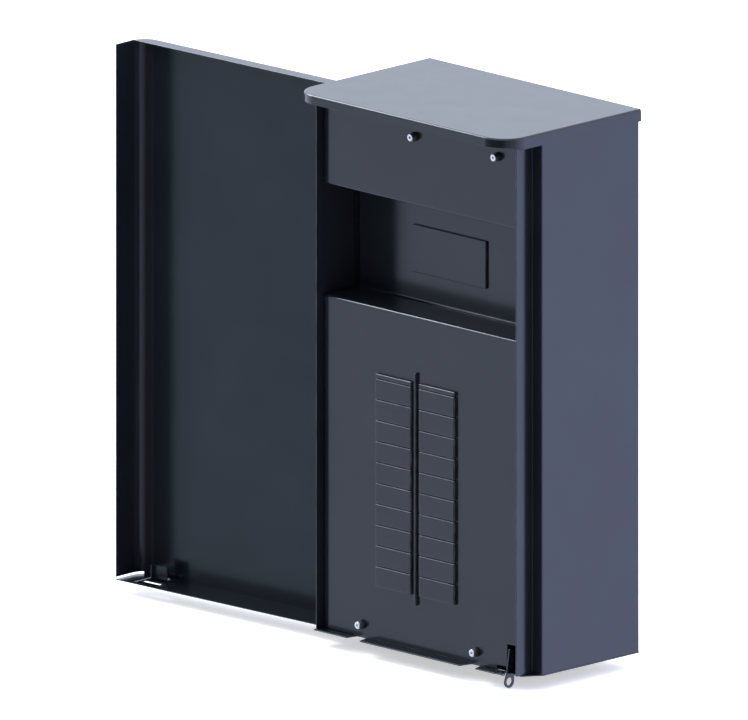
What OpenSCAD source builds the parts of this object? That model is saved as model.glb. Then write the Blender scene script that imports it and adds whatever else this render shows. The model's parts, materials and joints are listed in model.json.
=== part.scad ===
// Outdoor breaker panel enclosure with its door standing open.
// Millimetres. +X right, +Y towards the wall, +Z up.
// The origin is the centre of the four wall holes, on the outer face of the back.

/* [Box] */
// Width across the side walls
box_w = 350; // [330:1:460]
// Height from the bottom wall to the top of the rain cap
total_h = 661; // [620:1:900]
// Depth from the back to the ledge beside the right jamb
box_d = 164; // [140:1:220]
// Thickness of the box sheet
sheet_t = 1.5; // [1.2:0.1:2]
// Width of the ledge beside the right jamb
ledge_w = 15; // [10:1:25]
// Reach of the jambs in front of the ledge
jamb_d = 27; // [20:1:36]
// Outer radius of the folds in the box sheet
fold_r = 2.5; // [2.2:0.1:3]

/* [Rain cap] */
// Overhang of the cap beyond each side wall
cap_side_reach = 3; // [2.5:0.5:6]
// Reach of the cap in front of the jambs
cap_front_reach = 37; // [30:1:50]
// Height of the side skirts
cap_side_skirt = 15; // [12:0.5:25]
// Height of the front skirt
cap_front_skirt = 11.2; // [8:0.1:15]
// Radius of the two front corners, seen from above
cap_corner_r = 34; // [20:1:45]
// Outer radius of the bend round the top
cap_edge_r = 3; // [2.5:0.5:6]

/* [Covers] */
// Distance from the jamb fronts back to the covers
cover_inset = 10; // [8:1:14]
// Gap between the covers and the box
cover_gap = 1; // [0.5:0.5:2]
// Radius of the rolled cover edges
cover_edge_r = 4; // [2.5:0.5:6]
// Height of the shelf above the bottom wall
shelf_z = 406; // [380:1:440]
// Height of the breaker recess
recess_h = 135; // [100:1:160]
// Depth of the breaker recess behind the covers
recess_d = 58.5; // [40:0.1:75]

/* [Twistouts] */
// Number of breaker rows
rows = 10; // [6:1:10]
// Height of one breaker row
row_pitch = 25.4; // [25.4]
// Width of one twistout
twistout_w = 59.5; // [50:0.5:64]
// Groove between neighbouring twistouts
twistout_groove = 0.8; // [0.6:0.1:1.5]
// How far a twistout stands out of the cover
twistout_rise = 4; // [2:0.5:6]
// Thickness of a twistout's sheet
twistout_t = 1.2; // [0.8:0.1:1.5]
// Gap between the two columns
column_gap = 13; // [12:0.5:18]
// Height of the lowest twistout above the bottom wall
twistout_z = 66.5; // [60:0.5:80]
// Height of the narrow filler above each column
filler_h = 5.3; // [4:0.1:8]
// Offset of the breaker columns from the middle of the box
column_x = -16; // [-20:1:10]
// Width of the centre rib
rib_w = 3; // [2:0.5:5]
// How far the centre rib runs past the columns
rib_over = 12; // [6:1:16]

/* [Main breaker blank] */
// Width of the blank
blank_w = 122; // [90:1:140]
// Height of the blank
blank_h = 58; // [45:1:70]
// How far the blank stands out
blank_rise = 3; // [2:0.5:4]

/* [Cover screws] */
// Diameter of a screw head
head_d = 9; // [8:0.5:11]
// Height of a screw head
head_h = 4; // [3:0.5:5]
// Diameter of a screw shank
shank_d = 4.8; // [4:0.2:5.4]
// Height of the collar behind a screw head
collar_h = 4; // [3:0.5:5]
// Diameter of the collar
collar_d = 11; // [10:0.5:13]
// Height of the lower screws above the bottom wall
low_screw_z = 15; // [13:0.5:20]
// Height of the upper screws below the top of the cap
high_screw_drop = 36.5; // [30:0.5:45]

/* [Door] */
// How far the shut door reaches past the right jamb
door_reach = 3; // [2:0.5:6]
// Depth of the door's side and bottom flanges
door_d = 49; // [44:1:56]
// Depth of the top flange
door_top_flange = 18; // [12:1:24]
// Thickness of the door sheet
door_t = 1.5; // [1.2:0.1:2]
// Radius of the door's free vertical edge
door_edge_r = 21; // [10:1:26]
// Gap between the bottom wall and the door's bottom flange
door_drop = 0.6; // [0.5:0.1:1.5]
// Gap between the door's top edge and the skirt of the rain cap that it swings under
door_top_gap = 0.8; // [0.6:0.1:3]
// Clearance between the free side flange's lower edge and the bottom wall
corner_clear = 0.5; // [0.3:0.1:1.5]
// Angle the door stands open
door_open = 177.9; // [0:0.1:178]

/* [Hinges] */
// Distance of the hinge line outside the left wall
hinge_out = 3; // [3:0.1:4]
// Distance of the hinge line behind the jamb fronts
hinge_back = 23; // [22:0.5:24]
// Diameter of the hinge pins
pin_d = 3.9; // [3:0.1:4]
// Running clearance round a pin, on the radius
pin_fit = 0.05; // [0.02:0.01:0.09]
// Outer diameter of the knuckles
knuckle_d = 5.6; // [5.4:0.1:5.8]
// Height of one knuckle
knuckle_h = 20; // [14:1:30]
// Gap between knuckles along the pin
knuckle_gap = 0.5; // [0.3:0.1:1]
// Thickness of the hinge leaves
leaf_t = 1.2; // [1:0.1:1.2]
// Height of the lower hinge above the bottom wall
low_hinge_z = 90; // [60:1:140]
// Depth of the upper hinge below the top of the cap
high_hinge_drop = 110; // [80:1:160]

/* [Hasp and catch] */
// Distance of the hasp from the jamb's outer face
hasp_in = 22.3; // [20:0.1:28]
// Thickness of the hasp
hasp_t = 2; // [1.6:0.1:2.6]
// Diameter of the padlock hole
padlock_d = 9.5; // [8:0.5:10]
// Depth of the padlock hole's centre below the bottom wall
padlock_drop = 11; // [10.5:0.5:13]
// Outer radius of the padlock eye
eye_r = 8; // [7:0.5:9]
// Side clearance of the hasp in its slots
hasp_fit = 0.6; // [0.5:0.1:1]
// Width of the catch nose
catch_w = 12; // [8:1:14]
// Depth of the catch nose, front to back
catch_d = 6; // [5:0.5:7]
// Depth the catch nose reaches below the bottom wall
catch_drop = 5; // [4.6:0.1:5.6]
// Thickness of the catch spring
catch_t = 0.8; // [0.6:0.1:1]

/* [Wall mounting] */
// Diameter of the wall holes
wall_hole_d = 7; // [6:0.5:9]
// Distance between the wall holes across
wall_pitch_x = 254; // [200:1:300]
// Distance between the wall holes up and down
wall_pitch_z = 508; // [400:1:540]
// Height of the lower wall holes above the bottom wall
wall_low_z = 70; // [50:1:90]

/* [Interior] */
// Width of the interior base pan
base_w = 236; // [220:1:240]
// Distance from the recess back to the base pan
base_clear = 22.5; // [19.5:0.5:32]
// Thickness of the interior sheet
base_t = 1.5; // [1.2:0.1:2]
// Thickness of the bus bars
bus_t = 3; // [2:0.5:5]
// Width of one bus bar
bus_w = 16; // [12:1:20]
// Gap between the two bus bars
bus_gap = 12; // [10:1:20]
// Width and height of a neutral bar's section
bar_s = 12; // [10:1:14]
// Number of terminals on each neutral bar
neutral_ways = 14; // [8:1:14]
// Pitch of the terminals
way_pitch = 15; // [13:0.5:17]
// Number of terminals on the ground bar
ground_ways = 10; // [6:1:12]
// Diameter of a terminal screw
term_d = 6; // [5:0.5:7]

/* [Hidden] */
$fn = 48;
e = 1; // overshoot of a cut past the face it starts from

// Box planes
floor_z = -(wall_low_z + wall_pitch_z / 2);
left_x = -box_w / 2;
right_x = box_w / 2;
jamb_x = right_x - ledge_w;
front_y = -(box_d + jamb_d);
top_in = total_h - sheet_t;
cover_y = front_y + cover_inset;
cover_x0 = left_x + sheet_t + cover_gap;
cover_x1 = jamb_x - sheet_t - cover_gap;

// Cap
cap_x = box_w / 2 + cap_side_reach;
cap_y = front_y - cap_front_reach;

// Recess
recess_top = shelf_z + recess_h;
recess_y = cover_y + recess_d;
recess_lap = 12;
blank_x0 = column_x - blank_w / 2;
blank_z0 = shelf_z + (recess_h - blank_h) / 2 - 4;

// Twistouts
columns_top = twistout_z + rows * row_pitch;
rib_z0 = twistout_z - rib_over;
rib_z1 = columns_top + filler_h + rib_over;

// Screws: two under the cap and two above the tongue notches
high_screws = [column_x - 4, cover_x1 - 38.5];
low_screws = [column_x - 92, column_x + 99];
high_screw_z = total_h - high_screw_drop;
bracket_y = cover_y + sheet_t;

// Bottom wall and its tongue
tongue_y = front_y - 4;
tongue_mid_y = front_y - 6;
notch_w = 24;
notch_y = cover_y + 1;
hasp_x = jamb_x - hasp_in;
tongue_end = hasp_x - 10.2;
corner_cut_x = hasp_x - 3;
corner_cut_h = 34;

// Catch
catch_x = hasp_x - 6.5 - catch_w;
catch_y0 = cover_y - catch_d + 0.5;
catch_root_y = cover_y + 27;
catch_fit = 1.5;

// Hasp
eye_y = cover_y + 0.2;
pivot_y = cover_y + 46;
pivot_z = 12;
pivot_pin_d = 5;
horn_z = 28;

// Door, shut: these are the shut door's planes
hinge_x = left_x - hinge_out;
hinge_y = front_y + hinge_back;
door_x0 = hinge_x - 1;
door_x1 = jamb_x + door_reach;
door_w = door_x1 - door_x0;
door_rear = hinge_y + 1;
door_face = door_rear - door_d;
corner_gap = sheet_t + door_drop + corner_clear;
door_z0 = -sheet_t - door_drop - door_t;
door_z1 = total_h - cap_front_skirt - door_top_gap;
side_notch_w = cap_corner_r * 0.42;
side_notch_z = total_h - cap_side_skirt - door_top_gap;
knuckle_r = knuckle_d / 2;
hinge_h = 3 * knuckle_h + 2 * knuckle_gap;
hinge_zs = [low_hinge_z, total_h - high_hinge_drop - hinge_h];
hinge_cut = knuckle_r + 1.2;
pin_head_h = 1.2;
stop_gap = 1;
stop_y = tongue_y - stop_gap - door_t;
stop_x0 = catch_x - 12;
stop_w = 22.5;
stop_h = 18;
rivet_d = 3;
slot_run = 14.2;
slot_y0 = eye_y - eye_r - slot_run;
slot_y1 = eye_y + eye_r + hasp_fit;

// Interior
base_y = recess_y + base_clear;
base_x0 = column_x - base_w / 2;
base_x1 = column_x + base_w / 2;
base_z0 = 42;
base_z1 = recess_top + 70;
wall_y = -sheet_t;
bus_y = base_y - 12;
bus_z0 = twistout_z - 16;
bus_z1 = recess_top + 62;
bus_x = [column_x - bus_gap / 2 - bus_w, column_x + bus_gap / 2];
insulator_h = 14;
middle_z = twistout_z + floor(rows / 2) * row_pitch - insulator_h / 2;
insulator_zs = [bus_z0 + 2, middle_z, columns_top + 20, bus_z1 - 52];
rail_x = 68;
rail_y = base_y - 18;
bar_z0 = twistout_z + 40;
bar_len = (neutral_ways + 1) * way_pitch;
bar_y = base_y - 10 - bar_s;
neutral_xs = [base_x0 + 12, base_x1 - 12 - bar_s];
ground_x = right_x - sheet_t - 26;
ground_z0 = 130;
ground_len = (ground_ways + 1) * way_pitch;
ground_y = wall_y - 8 - bar_s;
lug_w = 20;
lug_h = 30;
lug_d = 24;
lug_z = bus_z1 - lug_h;
strap_h = 9;
bond_z = bar_z0 + 7;
bond_d = 4.6;

black = [0.05, 0.05, 0.06];
paint = [0.2, 0.22, 0.27];
paint_top = [0.55, 0.58, 0.63];
zinc = [0.85, 0.86, 0.88];
aluminium = [0.75, 0.76, 0.78];
insulator = [0.16, 0.16, 0.17];
galvanised = [0.62, 0.65, 0.67];

// A block from one corner to the opposite one
module block(low, high) {
    translate(low) cube(high - low);
}

// Everything is drawn from the bottom wall up, and set down with the wall holes' centre at zero
module from_floor() {
    translate([0, 0, floor_z]) children();
}

// A round bar along Y, from y0 to y1
module rod_y(x, z, d, y0, y1) {
    translate([x, y0, z]) rotate([-90, 0, 0]) cylinder(d = d, h = y1 - y0);
}

// A round bar along X, from x0 to x1
module rod_x(y, z, d, x0, x1) {
    translate([x0, y, z]) rotate([0, 90, 0]) cylinder(d = d, h = x1 - x0);
}

// A quarter of a sheet fold, in the quadrant that the turn points to
module fold_2d(centre, turn, r, t) {
    translate(centre) rotate(turn) difference() {
        intersection() {
            circle(r = r);
            square(r);
        }
        circle(r = r - t);
    }
}

// The wrapper, seen from above
module wrapper_plan() {
    r = fold_r;
    t = sheet_t;
    ledge_y = -box_d;
    translate([left_x + r, -t]) square([box_w - 2 * r, t]);
    translate([left_x, front_y]) square([t, -front_y - r]);
    translate([right_x - t, ledge_y + r]) square([t, box_d - 2 * r]);
    translate([jamb_x, ledge_y]) square([ledge_w - r, t]);
    translate([jamb_x - t, front_y]) square([t, jamb_d + t]);
    fold_2d([left_x + r, -r], 90, r, t);
    fold_2d([right_x - r, -r], 0, r, t);
    fold_2d([right_x - r, ledge_y + r], 270, r, t);
}

module wall_holes() {
    for (x = [-1, 1] * wall_pitch_x / 2, z = [0, 1] * wall_pitch_z)
        rod_y(x, wall_low_z + z, wall_hole_d, -sheet_t - e, e);
}

module box_wrapper() {
    color(paint) from_floor() difference() {
        linear_extrude(top_in) wrapper_plan();
        wall_holes();
    }
}

// The bottom wall: a tray whose front edge runs forward as a tongue
module bottom_plan() {
    polygon([
        [left_x, 0],
        [left_x, tongue_y],
        [low_screws[0] - notch_w / 2, tongue_y],
        [low_screws[0] - notch_w / 2 + 4, notch_y],
        [low_screws[0] + notch_w / 2 - 4, notch_y],
        [low_screws[0] + notch_w / 2, tongue_mid_y],
        [low_screws[1] - notch_w / 2, tongue_mid_y],
        [low_screws[1] - notch_w / 2 + 4, notch_y],
        [low_screws[1] + notch_w / 2 - 4, notch_y],
        [low_screws[1] + notch_w / 2, tongue_y],
        [tongue_end, tongue_y],
        [tongue_end, cover_y - 2],
        [jamb_x, cover_y - 2],
        [right_x - 3, -box_d],
        [right_x, -box_d + 4],
        [right_x, 0]
    ]);
}

// Rings scored part way through the bottom wall, one inside another
module knockout_rings(x, y, sizes) {
    for (d = sizes) translate([x, y, -sheet_t - e]) difference() {
        cylinder(d = d, h = 1 + e);
        translate([0, 0, -e]) cylinder(d = d - 1, h = 1 + 3 * e);
    }
}

module bottom_wall() {
    flange_h = 12;
    color(paint) from_floor() difference() {
        union() {
            translate([0, 0, -sheet_t]) linear_extrude(sheet_t) bottom_plan();
            block([left_x + sheet_t, -box_d, 0], [left_x + 2 * sheet_t, -fold_r, flange_h]);
            block([right_x - 2 * sheet_t, -box_d + fold_r, 0], [right_x - sheet_t, -fold_r, flange_h]);
            block([left_x + fold_r, -2 * sheet_t, 0], [right_x - fold_r, -sheet_t, flange_h]);
        }
        knockout_rings(column_x, -70, [64, 51, 44, 35]);
        knockout_rings(left_x + 55, -60, [35, 28]);
        knockout_rings(right_x - 60, -55, [35, 28]);
        knockout_rings(left_x + 45, -120, [22]);
        knockout_rings(column_x + 62, -125, [22]);
        block([catch_x - catch_fit, catch_y0 - catch_fit, -sheet_t - e],
              [catch_x + catch_w + catch_fit, cover_y + 2.5, e]);
        block([hasp_x - hasp_t / 2 - hasp_fit, cover_y - 2 - e, -sheet_t - e],
              [hasp_x + hasp_t / 2 + hasp_fit, cover_y + 16, e]);
    }
}

// The cap's edge: the end of the flat top, the bend and the skirt. x = 0 lies r inside the edge
module cap_edge(r, skirt) {
    re = cap_edge_r;
    ri = min(cap_edge_r, cap_side_reach) - sheet_t;
    outer = [for (a = [90:-15:0]) [r - re + re * cos(a), total_h - re + re * sin(a)]];
    inner = [for (a = [0:15:90]) [r - sheet_t - ri + ri * cos(a), top_in - ri + ri * sin(a)]];
    polygon(concat([[0, total_h]], outer, [[r, total_h - skirt], [r - sheet_t, total_h - skirt]],
        inner, [[0, total_h - sheet_t]]));
}

// A straight run of cap edge, from the point it starts at, along a heading
module cap_run(start, heading, length, r, skirt) {
    translate([start[0], start[1], 0]) rotate([0, 0, heading]) rotate([90, 0, 0])
        translate([0, 0, -length]) linear_extrude(length) cap_edge(r, skirt);
}

module rain_cap() {
    r = cap_corner_r;
    color(paint_top) from_floor() {
        block([-cap_x + r, cap_y + r, top_in], [cap_x - r, 0, total_h]);
        cap_run([cap_x - r, cap_y + r], 0, -cap_y - r, r, cap_side_skirt);
        cap_run([-cap_x + r, 0], 180, -cap_y - r, r, cap_side_skirt);
        cap_run([-cap_x + r, cap_y + r], -90, 2 * (cap_x - r), r, cap_front_skirt);
        for (side = [-1, 1]) translate([side * (cap_x - r), cap_y + r, 0])
            rotate([0, 0, side < 0 ? 180 : -90]) rotate_extrude(angle = 90) cap_edge(r, cap_front_skirt);
    }
}

// A rolled vertical edge of a cover, from its front face back
module cover_side(x, dir, z0, z1, depth) {
    r = cover_edge_r;
    flat = depth - r;
    translate([0, 0, z0]) linear_extrude(z1 - z0) {
        fold_2d([x - dir * r, cover_y + r], dir > 0 ? 270 : 180, r, sheet_t);
        translate([dir > 0 ? x - sheet_t : x, cover_y + r]) square([sheet_t, flat]);
    }
}

module screw_holes(xs, z) {
    for (x = xs) rod_y(x, z, shank_d + 0.6, cover_y - e, cover_y + sheet_t + e);
}

module upper_cover() {
    r = cover_edge_r;
    z1 = top_in - 1;
    color(paint) from_floor() difference() {
        union() {
            block([cover_x0 + r, cover_y, recess_top], [cover_x1 - r, cover_y + sheet_t, z1]);
            block([cover_x0 + r, cover_y + sheet_t, recess_top],
                  [cover_x1 - r, recess_y - 1.5, recess_top + sheet_t]);
            cover_side(cover_x0, -1, recess_top, z1, 12);
            cover_side(cover_x1, 1, recess_top, z1, 12);
        }
        screw_holes(high_screws, high_screw_z);
    }
}

// The deadfront from the side: front, rolled top edge, shelf, bend and recess back plate
module deadfront_side() {
    r = cover_edge_r;
    t = sheet_t;
    translate([cover_y, 0.5]) square([t, shelf_z - r - 0.5]);
    fold_2d([cover_y + r, shelf_z - r], 90, r, t);
    translate([cover_y + r, shelf_z - t]) square([recess_d - 2 * r, t]);
    fold_2d([recess_y - r, shelf_z - t + r], 270, r, t);
    translate([recess_y - t, shelf_z - t + r]) square([t, recess_h + recess_lap + t - r]);
}

module twistout_window(x0, z0, h) {
    rim = twistout_t + 0.6;
    block([x0 + rim, cover_y - e, z0 + rim], [x0 + twistout_w - rim, cover_y + sheet_t + e, z0 + h - rim]);
}

// Left edge of each breaker column
column_x0 = [column_x - column_gap / 2 - twistout_w, column_x + column_gap / 2];

module deadfront() {
    r = cover_edge_r;
    h = row_pitch - twistout_groove;
    rib_y = cover_y - twistout_rise;
    color(paint) from_floor() difference() {
        union() {
            translate([cover_x0 + r, 0, 0]) rotate([90, 0, 90])
                linear_extrude(cover_x1 - cover_x0 - 2 * r) deadfront_side();
            cover_side(cover_x0, -1, 0.5, shelf_z - r, 9);
            cover_side(cover_x1, 1, 0.5, shelf_z - r, 9);
            block([column_x - rib_w / 2, rib_y, rib_z0], [column_x + rib_w / 2, cover_y, rib_z1]);
        }
        for (x0 = column_x0, row = [0:rows - 1]) twistout_window(x0, twistout_z + row * row_pitch, h);
        screw_holes(low_screws, low_screw_z);
        block([blank_x0 + 3, recess_y - sheet_t - e, blank_z0 + 3],
              [blank_x0 + blank_w - 3, recess_y + e, blank_z0 + blank_h - 3]);
        block([corner_cut_x, cover_y - e, -e], [cover_x1 + e, cover_y + 20, corner_cut_h]);
        block([catch_x - catch_fit, cover_y - e, -e], [corner_cut_x + e, cover_y + sheet_t + e, 6]);
    }
}

// A raised blank: a shallow tray with its open side against the sheet behind it
module raised_blank(x0, y1, z0, w, h, rise, t) {
    difference() {
        block([x0, y1 - rise, z0], [x0 + w, y1, z0 + h]);
        block([x0 + t, y1 - rise + t, z0 + t], [x0 + w - t, y1 + e, z0 + h - t]);
    }
}

module breaker_twistouts() {
    h = row_pitch - twistout_groove;
    color(paint) from_floor() for (x0 = column_x0) {
        for (row = [0:rows - 1])
            raised_blank(x0, cover_y, twistout_z + row * row_pitch, twistout_w, h, twistout_rise, twistout_t);
        raised_blank(x0, cover_y, columns_top, twistout_w, filler_h, twistout_rise, twistout_t);
    }
}

module main_breaker_blank() {
    color(paint) from_floor()
        raised_blank(blank_x0, recess_y - sheet_t, blank_z0, blank_w, blank_h, blank_rise, twistout_t);
}

// Angles behind the covers that the cover screws thread into
module cover_bracket(xs, z, z_foot) {
    low = min(z_foot, z - 9);
    high = max(z_foot, z + 9);
    foot0 = z_foot < z ? z_foot : z_foot - sheet_t;
    difference() {
        union() {
            block([xs[0] - 14, bracket_y, low], [xs[1] + 14, bracket_y + sheet_t, high]);
            block([xs[0] - 14, bracket_y, foot0], [xs[1] + 14, bracket_y + 14, foot0 + sheet_t]);
        }
        for (x = xs) rod_y(x, z, shank_d + 2 * pin_fit, bracket_y - e, bracket_y + sheet_t + e);
    }
}

module upper_cover_bracket() {
    color(galvanised) from_floor() cover_bracket(high_screws, high_screw_z, top_in);
}

module lower_cover_bracket() {
    color(galvanised) from_floor() cover_bracket(low_screws, low_screw_z, 0);
}

module cover_screw(x, z) {
    head_y = cover_y - collar_h;
    difference() {
        union() {
            rod_y(x, z, head_d, head_y - head_h * 0.45, head_y);
            translate([x, head_y - head_h * 0.45, z]) rotate([90, 0, 0])
                cylinder(d1 = head_d, d2 = head_d * 0.62, h = head_h * 0.55);
            rod_y(x, z, shank_d, head_y - 0.1, bracket_y + sheet_t + 7);
        }
        rod_y(x, z, 2.6, head_y - head_h - e, head_y - head_h + 2.4);
    }
}

module screw_collar(x, z) {
    difference() {
        rod_y(x, z, collar_d, cover_y - collar_h, cover_y);
        rod_y(x, z, shank_d + 0.4, cover_y - collar_h - e, cover_y + e);
    }
}

module at_cover_screws() {
    for (x = high_screws) translate([x, 0, high_screw_z]) children();
    for (x = low_screws) translate([x, 0, low_screw_z]) children();
}

module cover_screws() {
    color(zinc) from_floor() at_cover_screws() cover_screw(0, 0);
}

module screw_collars() {
    color(black) from_floor() at_cover_screws() screw_collar(0, 0);
}

// What rides on the door is drawn shut and swung open about the hinge line
module swung_open() {
    translate([hinge_x, hinge_y, 0]) rotate([0, 0, -door_open]) translate([-hinge_x, -hinge_y, 0])
        children();
}

// The door's sides from above: hinge flange, panel, round free edge and free flange
module door_plan() {
    r = door_edge_r;
    t = door_t;
    f = fold_r;
    translate([door_x0, door_face + f]) square([t, door_d - f]);
    fold_2d([door_x0 + f, door_face + f], 180, f, t);
    translate([door_x0 + f, door_face]) square([door_w - f - r, t]);
    fold_2d([door_x1 - r, door_face + r], 270, r, t);
    translate([door_x1 - t, door_face + r]) square([t, door_d - r]);
}

// The outline of the door's bottom and top flanges, round at the free corner
module door_flange_plan(depth) {
    r = door_edge_r;
    translate([door_x0, door_face]) square([door_w - r, depth]);
    if (depth > r) translate([door_x1 - r, door_face + r]) square([r, depth - r]);
    intersection() {
        translate([door_x1 - r, door_face + r]) circle(r = r);
        translate([door_x1 - r, door_face]) square([r, min(r, depth)]);
    }
}

module door_pan() {
    color(paint) from_floor() swung_open() difference() {
        union() {
            translate([0, 0, door_z0]) linear_extrude(door_z1 - door_z0) door_plan();
            translate([0, 0, door_z0]) linear_extrude(door_t) door_flange_plan(door_d);
            translate([0, 0, door_z1 - door_t]) linear_extrude(door_t) door_flange_plan(door_top_flange);
        }
        block([door_x1 - door_edge_r, door_face + door_edge_r * 0.3, door_z0 + door_t],
              [door_x1 + e, door_rear + e, door_z0 + door_t + corner_gap]);
        block([hasp_x - hasp_t / 2 - hasp_fit, slot_y0, door_z0 - e],
              [hasp_x + hasp_t / 2 + hasp_fit, slot_y1, door_z0 + door_t + e]);
        block([stop_x0 - 3, catch_y0 - 0.5, door_z0 - e],
              [catch_x + catch_w + catch_fit, catch_y0 + catch_d + 0.5, door_z0 + door_t + e]);
        block([door_x0 - e, door_face - e, side_notch_z], [door_x0 + side_notch_w, door_rear + e, total_h]);
        for (z = hinge_zs) block([door_x0 - e, hinge_y - hinge_cut, z - pin_head_h - 1],
                                 [door_x0 + door_t + e, door_rear + e, z + hinge_h + pin_head_h + 1]);
    }
}

module door_stop_bracket() {
    z0 = door_z0 + door_t;
    color(paint) from_floor() swung_open() difference() {
        union() {
            block([stop_x0, stop_y, z0], [stop_x0 + stop_w, stop_y + door_t, z0 + stop_h]);
            block([stop_x0, stop_y - 11, z0], [stop_x0 + stop_w, stop_y + door_t, z0 + door_t]);
            block([stop_x0 + stop_w - door_t, stop_y, z0], [stop_x0 + stop_w, stop_y + 6, z0 + stop_h]);
        }
        for (x = [5, stop_w - 5]) translate([stop_x0 + x, stop_y - 6, z0 - e])
            cylinder(d = rivet_d, h = door_t + 2 * e);
    }
}

module stop_rivets() {
    z0 = door_z0 + 2 * door_t;
    color(zinc) from_floor() swung_open() for (x = [5, stop_w - 5])
        translate([stop_x0 + x, stop_y - 6, z0]) {
            cylinder(d1 = rivet_d * 2, d2 = rivet_d, h = 1.2);
            translate([0, 0, -door_t]) cylinder(d = rivet_d, h = door_t + 0.1);
        }
}

// A row of knuckles on the hinge line: the box has the two outer ones and the door the middle one
module knuckle(z) {
    translate([hinge_x, hinge_y, z]) difference() {
        cylinder(r = knuckle_r, h = knuckle_h);
        translate([0, 0, -e]) cylinder(r = pin_d / 2 + pin_fit, h = knuckle_h + 2 * e);
    }
}

module pin_hole(z) {
    translate([hinge_x, hinge_y, z - e]) cylinder(r = pin_d / 2 + pin_fit, h = hinge_h + 2 * e);
}

module box_hinge_leaves() {
    step = knuckle_h + knuckle_gap;
    color(galvanised) from_floor() for (z = hinge_zs) {
        knuckle(z);
        knuckle(z + 2 * step);
        difference() {
            union() {
                block([left_x - leaf_t, hinge_y, z], [left_x, hinge_y + 26, z + knuckle_h]);
                block([left_x - leaf_t, hinge_y, z + 2 * step], [left_x, hinge_y + 26, z + hinge_h]);
                block([left_x - leaf_t, hinge_y + 4, z], [left_x, hinge_y + 26, z + hinge_h]);
            }
            pin_hole(z);
        }
    }
}

module door_hinge_leaves() {
    step = knuckle_h + knuckle_gap;
    leaf_x = door_x0 + door_t;
    color(galvanised) from_floor() swung_open() for (z = hinge_zs) {
        knuckle(z + step);
        difference() {
            union() {
                block([leaf_x, hinge_y - 8, z + step], [leaf_x + leaf_t, hinge_y, z + step + knuckle_h]);
                block([leaf_x, hinge_y - 26, z], [leaf_x + leaf_t, hinge_y - 4.5, z + hinge_h]);
            }
            pin_hole(z);
        }
    }
}

module hinge_pins() {
    color(zinc) from_floor() for (z = hinge_zs) translate([hinge_x, hinge_y, z]) {
        translate([0, 0, -pin_head_h]) cylinder(d = knuckle_d - 0.6, h = pin_head_h);
        cylinder(d = pin_d, h = hinge_h);
        translate([0, 0, hinge_h]) cylinder(d = knuckle_d - 0.6, h = pin_head_h);
    }
}

// The hasp from the side: pivot eye, arm, finger horn and padlock eye
module hasp_side() {
    difference() {
        union() {
            translate([pivot_y, pivot_z]) circle(r = 7);
            polygon([
                [pivot_y, pivot_z + 7], [pivot_y - 30, pivot_z + 8], [cover_y + 7, horn_z],
                [cover_y + 0.5, horn_z], [cover_y - 4, 0], [eye_y - eye_r, -padlock_drop],
                [eye_y + eye_r, -padlock_drop], [eye_y + eye_r, -1], [cover_y + 14, 2],
                [pivot_y, pivot_z - 7]
            ]);
            translate([eye_y, -padlock_drop]) circle(r = eye_r);
        }
        translate([pivot_y, pivot_z]) circle(d = pivot_pin_d + 2 * pin_fit);
        translate([eye_y, -padlock_drop]) circle(d = padlock_d);
    }
}

module hasp_lever() {
    color(paint) from_floor() translate([hasp_x - hasp_t / 2, 0, 0]) rotate([90, 0, 90])
        linear_extrude(hasp_t) hasp_side();
}

ear_x = hasp_x + hasp_t / 2 + 0.5;

module hasp_bracket() {
    color(galvanised) from_floor() difference() {
        union() {
            block([ear_x, pivot_y - 10, 0], [ear_x + sheet_t, pivot_y + 10, pivot_z + 9]);
            block([ear_x, pivot_y - 10, 0], [ear_x + 14, pivot_y + 10, sheet_t]);
        }
        rod_x(pivot_y, pivot_z, pivot_pin_d + 2 * pin_fit, ear_x - e, ear_x + sheet_t + e);
    }
}

module hasp_pin() {
    x0 = hasp_x - hasp_t / 2 - 0.5;
    x1 = ear_x + sheet_t;
    color(zinc) from_floor() {
        rod_x(pivot_y, pivot_z, pivot_pin_d, x0, x1);
        rod_x(pivot_y, pivot_z, pivot_pin_d + 4, x0 - 1.5, x0);
        rod_x(pivot_y, pivot_z, pivot_pin_d + 4, x1, x1 + 1.5);
    }
}

// The catch from the side: a leaf that ends in a rounded nose
module catch_side() {
    t = catch_t;
    r = catch_d / 2;
    leaf_z = 0.4;
    nose_z = r - catch_drop;
    translate([catch_y0 + catch_d - t, nose_z]) square([t, leaf_z + t - nose_z]);
    translate([catch_y0, nose_z]) square([t, 1.2 - nose_z]);
    translate([catch_y0 + r, nose_z]) difference() {
        circle(r = r);
        circle(r = r - t);
        translate([-r - e, 0]) square([2 * r + 2 * e, r + e]);
    }
    translate([catch_y0 + catch_d - t, leaf_z]) square([catch_root_y - catch_y0 - catch_d + t - 0.3, t]);
}

module catch_spring() {
    color(paint) from_floor() translate([catch_x, 0, 0]) rotate([90, 0, 90])
        linear_extrude(catch_w) catch_side();
}

module catch_anchor() {
    color(galvanised) from_floor() difference() {
        block([catch_x - 2, catch_root_y, 0], [catch_x + catch_w + 2, catch_root_y + 16, 2]);
        for (x = [3, catch_w - 3]) translate([catch_x + x, catch_root_y + 8, -e])
            cylinder(d = rivet_d, h = 2 + 2 * e);
    }
}

module catch_rivets() {
    color(zinc) from_floor() for (x = [3, catch_w - 3]) translate([catch_x + x, catch_root_y + 8, 0]) {
        cylinder(d = rivet_d, h = 2.1);
        translate([0, 0, 2]) cylinder(d1 = rivet_d + 2, d2 = rivet_d, h = 1.2);
    }
}

// Interior base pan: a plate carried off the back wall on its two long sides
base_screw_z = [base_z0 + 50, base_z1 - 60];

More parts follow.
